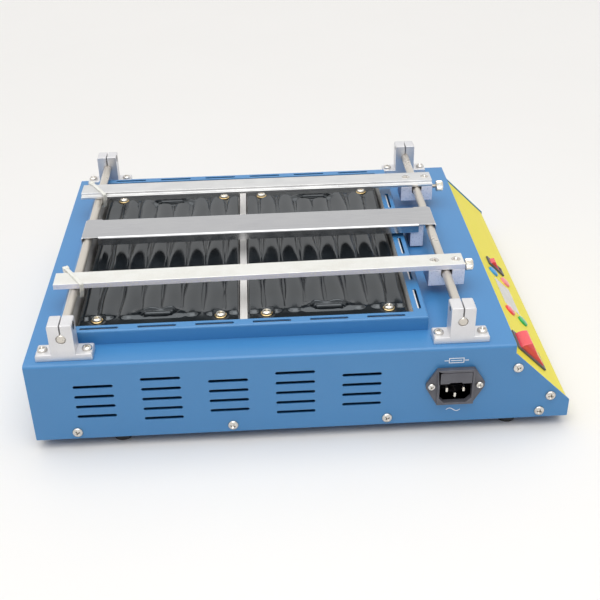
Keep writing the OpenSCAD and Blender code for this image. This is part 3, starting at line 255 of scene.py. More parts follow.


# in the metal looks an edge share brightens edges as a painted highlight, and faces across Y get a colour that is
# partly a sawn finish and partly painted light; in the powder coats the paler edge colour is partly rubbed paint,
# partly painted highlight
finishLooks = {
    "blue_paint": (powderCoat({
        "shade": tint(62, 131, 189), "drift": tint(68, 137, 194), "fleck": tint(92, 154, 204),
        "fleckShare": 0.22, "wornAndLit": tint(160, 198, 230), "wornAndLitShare": 0.6, "rough": 0.36, "bump": 0.14}),
        {"IOR": 1.6}),
    "base_paint": (powderCoat({
        "shade": tint(44, 96, 150), "drift": tint(48, 102, 156), "fleck": tint(76, 128, 180),
        "fleckShare": 0.2, "wornAndLit": tint(130, 165, 200), "wornAndLitShare": 0.3, "rough": 0.46, "bump": 0.16}),
        {}),
    "yellow_paint": (powderCoat({
        "shade": tint(243, 228, 66), "drift": tint(244, 231, 76), "fleck": tint(246, 236, 118),
        "fleckShare": 0.15, "wornAndLit": tint(252, 244, 170), "wornAndLitShare": 0.3, "rough": 0.5, "bump": 0.08}),
        {"IOR": 1.38}),
    "reflector_metal": (workedMetal({
        "shade": tint(246, 244, 241), "tarnish": tint(236, 233, 229), "line": tint(250, 249, 247),
        "lineShare": 0.3, "draw": (1, 0.05, 1), "grain": 1.2, "rough": 0.42, "spread": 0.18,
        "bump": 0.12, "depth": 0.05}), {"Metallic": 0.35}),
    "insulation": (mouldedPlastic({
        "shade": tint(224, 218, 204), "flow": tint(206, 198, 182), "rough": 0.9, "bump": 0.6,
        "pits": 0.8}), {}),
    "heater_black": (blackGlaze({
        "shade": (0.011, 0.014, 0.017, 1), "bloom": (0.018, 0.022, 0.026, 1),
        "dust": (0.16, 0.16, 0.15, 1), "runs": 0.16, "rough": 0.12, "bump": 0.35, "depth": 0.5}),
        {"IOR": 1.66, "Specular Tint": (0.9, 0.96, 1, 1)}),
    "white_ceramic": (mouldedPlastic({
        "shade": tint(232, 230, 224), "flow": tint(222, 218, 208), "rough": 0.3, "bump": 0.1}), {}),
    "brass": (workedMetal({
        "shade": tint(232, 206, 152), "tarnish": tint(214, 176, 110), "line": tint(246, 230, 192),
        "lineShare": 0.35, "draw": (1, 1, 1), "grain": 1.4, "cloud": 0.3, "rough": 0.2,
        "spread": 0.16, "bump": 0.08, "depth": 0.04}), {"Metallic": 1.0}),
    "zinc_steel": (workedMetal({
        "shade": tint(216, 213, 208), "tarnish": tint(196, 191, 183), "line": tint(234, 232, 228),
        "lineShare": 0.3, "draw": (1, 1, 1), "grain": 1.5, "cloud": 0.25, "rough": 0.22,
        "spread": 0.14, "bump": 0.08, "depth": 0.04}), {"Metallic": 1.0}),
    "black_steel": (workedMetal({
        "shade": tint(62, 62, 66), "tarnish": tint(48, 48, 52), "line": tint(92, 92, 96),
        "lineShare": 0.3, "draw": (1, 1, 1), "grain": 1.5, "cloud": 0.3, "rough": 0.38,
        "spread": 0.14, "bump": 0.1, "depth": 0.04}), {"Metallic": 0.9}),
    "support_alloy": (workedMetal({
        "shade": tint(226, 225, 226), "tarnish": tint(217, 216, 218), "line": tint(238, 238, 239),
        "lineShare": 0.35, "draw": (1, 1, 1), "grain": 1.6, "rough": 0.4, "spread": 0.12,
        "bump": 0.16, "depth": 0.05, "edge": 0.6}), {"Metallic": 0.6}),
    "rod_steel": (workedMetal({
        "shade": tint(212, 206, 196), "tarnish": tint(204, 197, 186), "line": tint(222, 217, 208),
        "lineShare": 0.2, "draw": (0.5, 0.5, 0.5), "grain": 0.5, "cloud": 0.02, "rough": 0.3,
        "spread": 0.06, "bump": 0.015, "depth": 0.03}), {"Metallic": 0.65}),
    "bar_alloy": (workedMetal({
        "shade": tint(233, 233, 228), "tarnish": tint(223, 222, 215), "line": tint(246, 245, 242),
        "lineShare": 0.45, "sawnAndLit": tint(232, 232, 244), "metal": 0.95, "draw": (0.8, 1, 1),
        "grain": 1.3, "rough": 0.44, "spread": 0.3, "bump": 0.5, "depth": 0.09, "spark": 0.7,
        "edge": 0.7}), {}),
    "block_alloy": (workedMetal({
        "shade": tint(200, 200, 214), "tarnish": tint(188, 188, 204), "line": tint(224, 224, 234),
        "lineShare": 0.4, "sawnAndLit": tint(245, 244, 253), "metal": 0.8, "draw": (1, 1, 0.7),
        "grain": 1.2, "rough": 0.42, "spread": 0.25, "bump": 0.35, "depth": 0.07, "spark": 0.5,
        "edge": 0.6}), {}),
    "nickel": (workedMetal({
        "shade": tint(234, 229, 218), "tarnish": tint(216, 209, 195), "line": tint(246, 243, 236),
        "lineShare": 0.3, "draw": (1, 1, 1), "grain": 1.3, "cloud": 0.2, "rough": 0.18,
        "spread": 0.14, "bump": 0.06, "depth": 0.03}), {"Metallic": 1.0}),
    "nylon": (mouldedPlastic({
        "shade": tint(240, 240, 234), "flow": tint(230, 229, 220), "rough": 0.38, "bump": 0.12}),
        {}),
    "channel_steel": (workedMetal({
        "shade": tint(190, 190, 191), "tarnish": tint(185, 185, 187), "line": tint(206, 206, 207),
        "lineShare": 0.3, "draw": (0.03, 1, 1), "grain": 1.6, "cloud": 0.02, "rough": 0.2,
        "spread": 0.1, "bump": 0.05, "depth": 0.04, "edge": 0.8}), {"Metallic": 1.0}),
    "black_plastic": (mouldedPlastic({
        "shade": tint(88, 88, 95), "flow": tint(97, 97, 104), "rough": 0.36, "bump": 0.22}), {}),
    "red_plastic": (mouldedPlastic({
        "shade": tint(240, 64, 74), "flow": tint(244, 74, 84), "rough": 0.3, "bump": 0.06}),
        {"Coat Weight": 0.9}),
    "blue_plastic": (mouldedPlastic({
        "shade": tint(58, 152, 222), "flow": tint(66, 160, 228), "rough": 0.3, "bump": 0.08}), {}),
    "pink_plastic": (mouldedPlastic({
        "shade": tint(246, 142, 148), "flow": tint(248, 154, 158), "rough": 0.3, "bump": 0.08}),
        {}),
    "green_plastic": (mouldedPlastic({
        "shade": tint(12, 170, 84), "flow": tint(20, 180, 94), "rough": 0.16, "bump": 0.04}),
        {"Coat Weight": 0.5}),
    "display_grey": (mouldedPlastic({
        "shade": tint(187, 184, 176), "flow": tint(195, 192, 184), "rough": 0.16, "bump": 0.03,
        "pits": 1.2}), {"Coat Weight": 0.6}),
    "board_green": (mouldedPlastic({
        "shade": tint(24, 92, 52), "flow": tint(32, 106, 60), "rough": 0.4, "bump": 0.15}), {}),
    "cream_plastic": (mouldedPlastic({
        "shade": tint(226, 222, 208), "flow": tint(216, 211, 194), "rough": 0.45, "bump": 0.15}),
        {}),
    "fuse_glass": (mouldedPlastic({
        "shade": tint(214, 220, 220), "flow": tint(222, 228, 228), "rough": 0.08, "bump": 0.02}),
        {}),
    "rubber": (mouldedPlastic({
        "shade": tint(38, 38, 39), "flow": tint(50, 50, 51), "rough": 0.72, "bump": 0.4,
        "pits": 2.0}), {}),
}
finishes = {slot: finish(slot, *made) for slot, made in finishLooks.items()}
slotOf = {part["node"]: part["material_slot"] for part in frame["record"]["subparts"]}
for name, obj in nodes.items():
    for holder in obj.material_slots:
        holder.material = finishes[slotOf[name]]
print("finishes made:", len(finishes))


def meshOf(bm, name):
    bmesh.ops.recalc_face_normals(bm, faces=bm.faces)
    mesh = bpy.data.meshes.new(name)
    bm.to_mesh(mesh)
    bm.free()
    return mesh


# a finished piece that stands for CAD nodes and moves with their body
def addPiece(name, mesh, standsFor, angle=38, material=None, even=False):
    obj = bpy.data.objects.new(name, mesh)
    bpy.context.scene.collection.objects.link(obj)
    slot = slotOf[standsFor[0]]
    mesh.materials.clear()
    mesh.materials.append(material or finishes[slot])
    mesh.polygons.foreach_set("material_index", [0] * len(mesh.polygons))
    mesh.polygons.foreach_set("use_smooth", [True] * len(mesh.polygons))
    mesh.set_sharp_from_angle(angle=math.radians(angle))
    if even:
        obj.modifiers.new("evenNormals", "WEIGHTED_NORMAL").keep_sharp = True
    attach(obj, bodyOf[standsFor[0]])
    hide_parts(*standsFor)
    return obj


# a CAD node with its sharp edges broken, as bent sheet, milled pieces and mouldings have them
def softened(node, width, segments=2, material=None):
    bm = bmesh.new()
    bm.from_mesh(nodes[node].data)
    bmesh.ops.remove_doubles(bm, verts=bm.verts, dist=weld)
    bmesh.ops.dissolve_limit(bm, angle_limit=math.radians(0.5), verts=bm.verts, edges=bm.edges)
    sharp = [edge for edge in bm.edges
             if len(edge.link_faces) == 2 and edge.calc_face_angle(0) > math.radians(breakFrom)]
    bmesh.ops.bevel(bm, geom=sharp, offset=width * mm, offset_type="OFFSET", segments=segments,
                    profile=0.5, affect="EDGES", clamp_overlap=False, loop_slide=False)
    mesh = meshOf(bm, node + "Soft")
    for layer in ("custom_normal", "UVMap"):
        if layer in mesh.attributes:
            mesh.attributes.remove(mesh.attributes[layer])
    return addPiece(node + "_dressed", mesh, [node], material=material, even=True)


# boxes of the separate solids in a CAD node
def solidsIn(node):
    bm = bmesh.new()
    bm.from_mesh(nodes[node].data)
    bmesh.ops.remove_doubles(bm, verts=bm.verts, dist=weld)
    found, seen = [], set()
    for start in bm.verts:
        if start.index in seen:
            continue
        heap, points = [start], []
        seen.add(start.index)
        while heap:
            vert = heap.pop()
            points.append(vert.co.copy())
            for edge in vert.link_edges:
                other = edge.other_vert(vert)
                if other.index not in seen:
                    seen.add(other.index)
                    heap.append(other)
        low = Vector([min(p[k] for p in points) for k in range(3)])
        high = Vector([max(p[k] for p in points) for k in range(3)])
        found.append((low, high))
    bm.free()
    return found


# the middle of a box in plan, at a level
def over(low, high, z):
    return Vector(((low.x + high.x) / 2, (low.y + high.y) / 2, z))


# a turned form from (radius, height) pairs in millimetres, the first and last on the axis
def turned(bm, profile, segments, matrix):
    rings = []
    for radius, height in profile:
        if radius < 1e-6:
            rings.append([bm.verts.new(matrix @ Vector((0, 0, height * mm)))])
        else:
            rings.append([bm.verts.new(matrix @ Vector((
                radius * mm * math.cos(2 * math.pi * k / segments),
                radius * mm * math.sin(2 * math.pi * k / segments), height * mm))) for k in range(segments)])
    for a, b in zip(rings, rings[1:]):
        for k in range(segments):
            n = (k + 1) % segments
            if len(a) == 1:
                bm.faces.new((a[0], b[k], b[n]))
            elif len(b) == 1:
                bm.faces.new((a[k], b[0], a[n]))
            else:
                bm.faces.new((a[k], b[k], b[n], a[n]))


# body minus tool, both meshes
def carved(body, tool):
    pair = [bpy.data.objects.new("carve", mesh) for mesh in (body, tool)]
    for obj in pair:
        bpy.context.scene.collection.objects.link(obj)
    cut = pair[0].modifiers.new("cut", "BOOLEAN")
    cut.operation, cut.solver, cut.object = "DIFFERENCE", "EXACT", pair[1]
    result = bpy.data.meshes.new_from_object(pair[0].evaluated_get(bpy.context.evaluated_depsgraph_get()))
    for obj in pair:
        bpy.data.objects.remove(obj)
    return result


# a cross recess, tapered, from just over the top of a head down
def crossTool(r, w, top, depth):
    outline = [(r, -w), (r, w), (w, w), (w, r), (-w, r), (-w, w),
               (-r, w), (-r, -w), (-w, -w), (-w, -r), (w, -r), (w, -w)]
    bm = bmesh.new()
    rings = [[bm.verts.new((x * share * mm, y * share * mm, z * mm)) for x, y in outline]
             for share, z in ((1.06, top + 0.3), (1, top), (0.42, top - depth))]
    for a, b in zip(rings, rings[1:]):
        for k in range(12):
            n = (k + 1) % 12
            bm.faces.new((a[k], a[n], b[n], b[k]))
    bm.faces.new(rings[0])
    bm.faces.new(rings[-1])
    return meshOf(bm, "crossTool")


# a screw head with its seat at 0 and a stub of shank, head diameter d and height h in millimetres
def crossHead(d, h, flat=False):
    r = d / 2
    bm = bmesh.new()
    if flat:
        profile = [(0, 0), (r * 0.96, 0), (r, -0.12), (r * 0.5, -h), (r * 0.46, -h - 2), (0, -h - 2)]
    else:
        profile = [(0, h), (r * 0.3, h * 0.985), (r * 0.58, h * 0.93), (r * 0.78, h * 0.82),
                   (r * 0.92, h * 0.62), (r, h * 0.32), (r, 0.12), (r * 0.97, 0), (r * 0.44, 0),
                   (r * 0.44, -2), (0, -2)]
    turned(bm, profile, 40, Matrix.Identity(4))
    top = 0 if flat else h
    return carved(meshOf(bm, "head"), crossTool(r * 0.56, r * 0.125, top, h * (0.6 if flat else 0.68)))


# copies of a mesh, one at each matrix
def stamped(mesh, places, name):
    bm = bmesh.new()
    for place in places:
        copy = mesh.copy()
        copy.transform(place)
        bm.from_mesh(copy)
        bpy.data.meshes.remove(copy)
    return meshOf(bm, name)


# at a point, looking out along a direction and turned about it by spin
def facing(point, out, spin):
    return (Matrix.Translation(point) @ Vector(out).to_track_quat("Z", "Y").to_matrix().to_4x4()
            @ Matrix.Rotation(spin, 4, "Z"))


# sheet metal of the case
caseEdges = {"cover": 0.35, "base_plate": 0.3, "control_panel": 0.35, "heater_frame": 0.3,
             "divider_strip": 0.3, "reflector_tray": 0.25}
for node, width in caseEdges.items():
    softened(node, width)
print("case sheets dressed")

# ribs of the heater plates in millimetres, x from a plate's middle and mirrored on the right plate;
# ribs join in a lobe at each end, which has a pocket with a bar in it
ribs = {"count": 8, "pitch": 18.2, "shift": 0.6, "height": 2.5, "width": 17, "end": 17, "endDrop": 4,
        "sway": 0.6, "merge": 1.1, "mergeRise": 0.55, "groove": 0.8, "grooveEnd": 5,
        "screwIn": 16, "screwEnd": 18, "seat": 6.4, "seatEdge": 1.6, "joined": (2, 4), "lobeShift": 7,
        "pocketWall": 2.5, "pocketDepth": 1.6, "barWidth": 5, "barDrop": 0.1,
        "columns": 220, "endRows": 64, "endStep": 0.62, "middleRows": 40}


def ribbedPlate(node, side):
    low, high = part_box(node)
    halfL, halfD = (high.x - low.x) / 2 / mm, (high.y - low.y) / 2 / mm
    middle = (low + high) / 2
    h, w, count = ribs["height"], ribs["width"], ribs["count"]
    faceZ = high.z / mm - h
    radius = (w * w / 4 + h * h) / (2 * h)
    run = halfD - ribs["end"] - w / 2

    def centre(i):
        return (i - (count - 1) / 2) * ribs["pitch"] + ribs["shift"]

    # the round back of a rib, d from its ridge
    def lens(d):
        return math.sqrt(radius * radius - d * d) - (radius - h) if d < w / 2 else 0

    # a rib keeps its height up to a short round end
    def rib(d, far):
        reach = math.sqrt(max(0, w * w / 4 - d * d))
        return lens(abs(d)) * ease(reach, reach - ribs["endDrop"], far)

    lobe = [centre(i) + ribs["lobeShift"] for i in ribs["joined"]]
    lobeX = (lobe[0] + lobe[1]) / 2
    pocketL, pocketW = (lobe[1] - lobe[0]) / 2, w / 2 - ribs["pocketWall"]
    barR = ribs["barWidth"] / 2
    barHalf = pocketL - pocketW - barR

    # height over the plate's face, far being the distance past the straight run of the ribs
    def height(x, y):
        far = abs(y) - run
        tall = []
        for i in range(count):
            sway = math.sin(0.046 * y + 1.7 * i + side) + 0.45 * math.sin(0.13 * y + 2.9 * i)
            tall.append(rib(x - centre(i) - ribs["sway"] * sway, far + math.sin(3.1 * i)))
        tall.append(lens(math.hypot(max(lobe[0] - x, x - lobe[1], 0), far)))
        b, a = sorted(tall)[-2:]
        share = clamp(0.5 + (a - b) / ribs["merge"], 0, 1)
        z = b + (a - b) * share + ribs["mergeRise"] * share * (1 - share)
        if abs(x - ribs["shift"]) < ribs["pitch"] * count / 2:
            z -= ribs["groove"] * (1 - ease(0, 0.35, z)) * ease(0, -ribs["grooveEnd"], far)
        inside = abs(far) - min(pocketW, pocketL - abs(x - lobeX))
        z -= (z + ribs["pocketDepth"]) * ease(0.5, -0.7, inside)
        bar = math.hypot(max(0, abs(x - lobeX) - barHalf), far) / barR
        if bar < 1:
            z = max(z, (h - ribs["barDrop"]) * math.sqrt(1 - bar ** 2))
        for sx in (-1, 1):
            off = math.hypot(x - sx * (halfL - ribs["screwIn"]), abs(y) - (halfD - ribs["screwEnd"]))
            z *= 1 - ease(ribs["seat"] + ribs["seatEdge"], ribs["seat"], off)
        rim = min(halfL - abs(x), halfD - abs(y))
        return z * ease(-0.4, 1.8, rim) - 0.5 * (1 - ease(0, 1.2, rim))

    columns = [halfL * (2 * k / ribs["columns"] - 1) for k in range(ribs["columns"] + 1)]
    ends = [ribs["endStep"] * k for k in range(ribs["endRows"])]
    gap = (2 * halfD - 2 * ends[-1]) / ribs["middleRows"]
    rows = [t - halfD for t in ends]
    rows += [ends[-1] - halfD + gap * k for k in range(1, ribs["middleRows"])]
    rows += [halfD - t for t in reversed(ends)]
    bm = bmesh.new()
    grid = [[bm.verts.new((middle.x + side * x * mm, middle.y + y * mm, (faceZ + height(x, y)) * mm))
             for x in columns] for y in rows]
    for a, b in zip(grid, grid[1:]):
        for k in range(len(columns) - 1):
            bm.faces.new((a[k], a[k + 1], b[k + 1], b[k]))
    brink = grid[0] + [row[-1] for row in grid[1:]] + grid[-1][-2::-1] + [row[0] for row in grid[-2:0:-1]]
    foot = [bm.verts.new((vert.co.x, vert.co.y, low.z)) for vert in brink]
    for k in range(len(brink)):
        n = (k + 1) % len(brink)
        bm.faces.new((brink[k], brink[n], foot[n], foot[k]))
    bm.faces.new(foot)
    return addPiece(node + "_glazed", meshOf(bm, node + "Glazed"), [node], angle=60)


ribbedPlate("heater_plate_left", 1)
ribbedPlate("heater_plate_right", -1)
print("heater plates glazed")

# screws: head diameter and height in millimetres, and the turn of the first cross in radians
screwSizes = {"case": (9, 2.6, 0.5), "support": (8.5, 2.6, 0.3), "heater": (8.5, 2.6, 1),
              "inlet": (6.5, 2.2, 0.7), "bar": (8.5, 2.3, 0.4)}
spinStep = 2.4  # turn from one screw to the next
washerProfile = [(0, 0.05), (4.85, 0.05), (5.15, -0.15), (5.15, -0.65), (4.85, -0.8), (0, -0.8)]


# all heads of a CAD node as one piece: each seat is a point and the direction out of it
def screwHeads(kind, node, seats, flat=False, material=None):
    d, h, spin = screwSizes[kind]
    places = [facing(point, out, spin + spinStep * i) for i, (point, out) in enumerate(seats)]
    heads = stamped(crossHead(d, h, flat), places, node + "Crossed")
    addPiece(node + "_crossed", heads, [node], material=material)
    return places


def screwPieces():
    up = (0, 0, 1)
    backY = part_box("cover")[1].y
    seats = []
    for low, high in solidsIn("case_screws"):
        middle = (low + high) / 2
        front = middle.y < 0
        seat = Vector((middle.x, caseCorner.y if front else backY, middle.z))
        seats.append((seat, (0, -1 if front else 1, 0)))
    screwHeads("case", "case_screws", seats)

    h = screwSizes["support"][1] * mm
    seats = [(over(low, high, high.z - h), up) for low, high in solidsIn("support_screws")]
    screwHeads("support", "support_screws", seats)

    # the node also holds the washers, which are shorter
    h = screwSizes["heater"][1] * mm
    seats = [(over(low, high, high.z - h), up) for low, high in solidsIn("heater_screws")
             if high.z - low.z > 10 * mm]
    places = screwHeads("heater", "heater_screws", seats, material=finishes["nickel"])
    bm = bmesh.new()
    for place in places:
        turned(bm, washerProfile, 40, place)
    addPiece("heater_washers", meshOf(bm, "heaterWashers"), ["heater_screws"])

    # only what stands out of the case is a head
    h = screwSizes["inlet"][1] * mm
    seats = [(Vector(((low.x + high.x) / 2, low.y + h, (low.z + high.z) / 2)), (0, -1, 0))
             for low, high in solidsIn("inlet_screws") if low.y < caseCorner.y - 3 * mm]
    screwHeads("inlet", "inlet_screws", seats)

    for end in ("front", "rear"):
        node = end + "_bar_screws"
        seats = [(over(low, high, high.z), up) for low, high in solidsIn(node)]
        screwHeads("bar", node, seats, flat=True)


screwPieces()
print("screws driven")

# milled pieces and the bent channel; the front bar is rough, the rear one brushed along
milledEdges = {"support_front_left": 0.45, "support_front_right": 0.45, "support_rear_left": 0.45,
               "support_rear_right": 0.45, "front_clamp_bar": 0.35, "rear_clamp_bar": 0.35,
               "front_clamp_block": 0.6, "rear_clamp_block": 0.6, "board_channel": 0.25,
               "channel_guide_block": 0.6}
# its edge share brightens the bar's edges as a painted highlight
rearBarLook = {"shade": tint(222, 222, 221), "tarnish": tint(212, 212, 212), "line": tint(236, 236, 235),
               "lineShare": 0.4, "draw": (0.04, 1, 1), "grain": 1.4, "rough": 0.34, "spread": 0.16,
               "bump": 0.12, "depth": 0.05, "edge": 0.7}
rearBarFinish = finish("bar_alloy_brushed", workedMetal(rearBarLook), {"Metallic": 1.0})
for node, width in milledEdges.items():
    softened(node, width, 3, material=rearBarFinish if node == "rear_clamp_bar" else None)
print("milled pieces dressed")

# guide rods, turned, with broken ends
rodEdge = 1
for side in ("left", "right"):
    node = "guide_rod_" + side
    low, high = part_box(node)
    r, length = (high.x - low.x) / 2 / mm, (high.y - low.y) / mm
    start = Vector(((low.x + high.x) / 2, low.y, (low.z + high.z) / 2))
    profile = [(0, 0), (r - rodEdge, 0), (r, rodEdge), (r, length - rodEdge), (r - rodEdge, length),
               (0, length)]
    bm = bmesh.new()
    turned(bm, profile, 64, facing(start, (0, 1, 0), 0))
    addPiece(node + "_turned", meshOf(bm, side + "Rod"), [node])
print("rods turned")

# thumbscrews, in millimetres along their axis from the rod
thumb = {"diameter": 11, "length": 7, "teeth": 24, "toothSteps": 6, "toothDepth": 0.5, "shank": 4,
         "shankLength": 14.7, "pitch": 0.7, "threadDepth": 0.3, "blockHalf": 16,
         "out": {"front": 3, "rear": 5}}


def thumbscrew(end):
    joint = joints[end + "_thumbscrew_turn"]
    place = facing(Vector(joint["pos_m"]), joint["axis"], 0)
    start = thumb["blockHalf"] + thumb["out"][end]
    r, length, steps = thumb["diameter"] / 2, thumb["length"], thumb["teeth"] * thumb["toothSteps"]
    # the head: height, share of the radius, share of the knurl's depth
    head = ((0, 0.82, 0), (0.15, 0.88, 0.2), (0.8, 0.99, 1), (1.1, 1, 1), (length / 2, 1, 1),
            (length - 1.1, 1, 1), (length - 0.8, 0.99, 1), (length - 0.15, 0.88, 0.2),
            (length, 0.82, 0), (length, 0.7, 0), (length - 0.3, 0.6, 0))
    bm = bmesh.new()
    rings = []
    for t, share, knurl in head:
        ring = []
        for k in range(steps):
            turn = 2 * math.pi * k / steps
            tooth = abs((k / thumb["toothSteps"]) % 1 - 0.5) * 2
            reach = r * share - thumb["toothDepth"] * knurl * (1 - tooth) ** 1.3
            ring.append(bm.verts.new(place @ Vector((
                reach * mm * math.cos(turn), reach * mm * math.sin(turn), (start + t) * mm))))
        rings.append(ring)
    for a, b in zip(rings, rings[1:]):
        for k in range(steps):
            n = (k + 1) % steps
            bm.faces.new((a[k], a[n], b[n], b[k]))
    bm.faces.new(rings[0])
    bm.faces.new(rings[-1])
    tip, crest = start - thumb["shankLength"], thumb["shank"] / 2
    root = crest - thumb["threadDepth"]
    thread = [(0, tip)]
    for k in range(int((thumb["shankLength"] - 0.4) / thumb["pitch"])):
        at = tip + 0.2 + k * thumb["pitch"]
        thread += [(root, at), (crest, at + thumb["pitch"] / 2)]
    thread += [(root, start - 0.1), (0, start + 0.2)]
    turned(bm, thread, 28, place)
    addPiece(end + "_thumbscrew_knurled", meshOf(bm, end + "Thumbscrew"), [end + "_thumbscrew"], angle=50)


for end in ("front", "rear"):
    thumbscrew(end)
print("thumbscrews knurled")

# cable ties in millimetres: the strap, the loop's half lengths and levels from the rod axis, the head,
# the place of the right rod and the span to the left one; lean and skew in degrees
tie = {"width": 3.6, "thick": 1.2, "ribPitch": 0.8, "ripple": 0.08, "halfTop": 14.95, "halfLow": 11.72,
       "top": 9.35, "rest": 4.25, "low": -4.3, "corner": 1.4, "cornerSteps": 6, "head": (5, 4.5, 5),
       "headWall": 1.1, "headDepth": 1.2, "headEdge": 0.35, "rodX": 355.5, "rodZ": 106, "rodSpan": 322.5,
       "lean": 30, "skew": {"front": 1, "rear": 0}, "y": {"front": 95, "rear": 264.5}}


def cableTie(end):
    t, half, o = tie["thick"], tie["width"] / 2, tie["thick"] / 2
    place = (Matrix.Translation(spot(tie["rodX"], tie["y"][end], tie["rodZ"]))
             @ Matrix.Rotation(math.radians(tie["skew"][end]), 4, "Z")
             @ Matrix.Translation((-tie["rodSpan"] * mm, 0, 0))
             @ Matrix.Rotation(math.radians(tie["lean"]), 4, "Z"))
    lowX, topX = tie["halfLow"] + o, tie["halfTop"] + o
    lowZ, restZ, topZ = tie["low"] - o, tie["rest"] - o, tie["top"] + o
    corners = [Vector(p) for p in ((-lowX, lowZ), (lowX, lowZ), (topX, restZ), (topX, topZ), (-topX, topZ),
                                   (-topX, restZ))]
    path = []
    for k, corner in enumerate(corners):
        following = corners[(k + 1) % len(corners)]
        before = (corners[k - 1] - corner).normalized() * tie["corner"]
        after = (following - corner).normalized() * tie["corner"]
        for step in range(tie["cornerSteps"] + 1):
            s = step / tie["cornerSteps"]
            path.append(corner + before * (1 - s) ** 2 + after * s ** 2)
        span = following - corner
        ribsHere = int((span.length - 2 * tie["corner"]) / tie["ribPitch"])
        for step in range(1, ribsHere):
            path.append(corner + after + (span - 2 * after) * step / ribsHere)
    # across the strap, with a shallow groove along its outer face
    section = [(-half + 0.3, -o), (half - 0.3, -o), (half, -o + 0.3), (half, o - 0.35), (half - 0.35, o),
               (half * 0.55, o), (half * 0.5, o - 0.12), (-half * 0.5, o - 0.12), (-half * 0.55, o),
               (-half + 0.35, o), (-half, o - 0.35), (-half, -o + 0.3)]
    bm = bmesh.new()
    rings = []
    for k, point in enumerate(path):
        ahead = (path[(k + 1) % len(path)] - path[k - 1]).normalized()
        out = Vector((ahead.y, -ahead.x))
        ripple = tie["ripple"] * (k % 2)
        ring = []
        for x, d in section:
            d -= ripple if d > 0 else 0
            ring.append(bm.verts.new(place @ Vector((
                x * mm, (point.x + out.x * d) * mm, (point.y + out.y * d) * mm))))
        rings.append(ring)
    for k, ring in enumerate(rings):
        other = rings[(k + 1) % len(rings)]
        for j in range(len(section)):
            n = (j + 1) % len(section)
            bm.faces.new((ring[j], ring[n], other[n], other[j]))
    w, d, h = tie["head"]
    box = bmesh.ops.create_cube(bm, size=1)["verts"]
    middle = Vector((0, topX + d / 2, tie["top"] + t - h / 2))
    for vert in box:
        vert.co = place @ Vector(((vert.co.x * w + middle.x) * mm, (vert.co.y * d + middle.y) * mm,
                                  (vert.co.z * h + middle.z) * mm))
    faces = {face for vert in box for face in vert.link_faces}
    upper = max(faces, key=lambda face: face.calc_center_median().z)
    bmesh.ops.inset_region(bm, faces=[upper], thickness=tie["headWall"] * mm)
    for vert in upper.verts:
        vert.co.z -= tie["headDepth"] * mm
    edges = {edge for vert in box for edge in vert.link_edges}
    bmesh.ops.bevel(bm, geom=list(edges), offset=tie["headEdge"] * mm, offset_type="OFFSET", segments=2,
                    profile=0.5, affect="EDGES", clamp_overlap=True)
    addPiece(end + "_cable_tie_strap", meshOf(bm, end + "Tie"), [end + "_cable_tie"], angle=50)


for end in ("front", "rear"):
    cableTie(end)
print("cable ties drawn")

# inlet, switches and the display, as mouldings
mouldedEdges = {"inlet_body": 0.5, "fuse_drawer": 0.4, "inlet_pins": 0.35, "power_switch": 0.45,
                "heater_switch": 0.4, "power_rocker": 0.7, "heater_rocker": 0.45, "display_window": 0.2}
for node, width in mouldedEdges.items():
    softened(node, width, 3)

# push buttons in millimetres: places down the slope and along the case, one form, the slope's upper edge
buttons = {"places": {"button_blue": (29, 168.5), "button_pink": (47, 168.5), "button_red": (29, 98),
                      "button_green": (47, 98)},
           "radius": 5.75, "rise": 1.3, "crown": 0.8, "skirt": -3, "slopeX": 400, "slopeZ": 77}


def buttonCaps():
    r, top, crown, skirt = (buttons[key] for key in ("radius", "rise", "crown", "skirt"))
    slopeOut = Vector((math.sqrt(0.5), 0, math.sqrt(0.5)))
    slopeDown = Vector((math.sqrt(0.5), 0, -math.sqrt(0.5)))
    shoulder = top - crown * 0.81
    profile = [(r * k / 8 * 0.9, top - crown * (k / 8 * 0.9) ** 2) for k in range(9)]
    profile += [(r * 0.95, shoulder - crown * 0.11 - 0.02), (r * 0.985, shoulder - crown * 0.19 - 0.12),
                (r, shoulder - crown * 0.25 - 0.4), (r, skirt), (0, skirt)]
    for node, (down, y) in buttons["places"].items():
        seat = spot(buttons["slopeX"], y, buttons["slopeZ"]) + slopeDown * down * mm
        bm = bmesh.new()
        turned(bm, profile, 48, facing(seat, slopeOut, 0))
        addPiece(node + "_cap", meshOf(bm, node), [node], angle=60)


buttonCaps()

# rubber feet with a moulded step and rounded rim
footProfile = [(0, 5), (4.6, 5), (4.6, 0.5), (5.1, 0), (7.4, 0), (7.9, 0.25), (8.15, 0.9), (8.5, 5),
               (8.7, 8.8), (9, 9.2), (9, 10), (0, 10)]
bm = bmesh.new()
for low, high in solidsIn("feet"):
    turned(bm, footProfile, 40, Matrix.Translation(over(low, high, 0)))
addPiece("feet_moulded", meshOf(bm, "feetMoulded"), ["feet"])
print("controls and feet moulded")

# white print by the inlet in millimetres: the sign of a fuse above it, of alternating current below it
signs = {"x": 351, "fuseZ": 72.8, "fuse": (12, 4.4), "lead": 4, "wireInset": 1.4, "waveZ": 22.4,
         "wave": (12, 1.5), "waveSteps": 24, "stroke": 0.7, "thick": 0.06, "sink": 0.1}


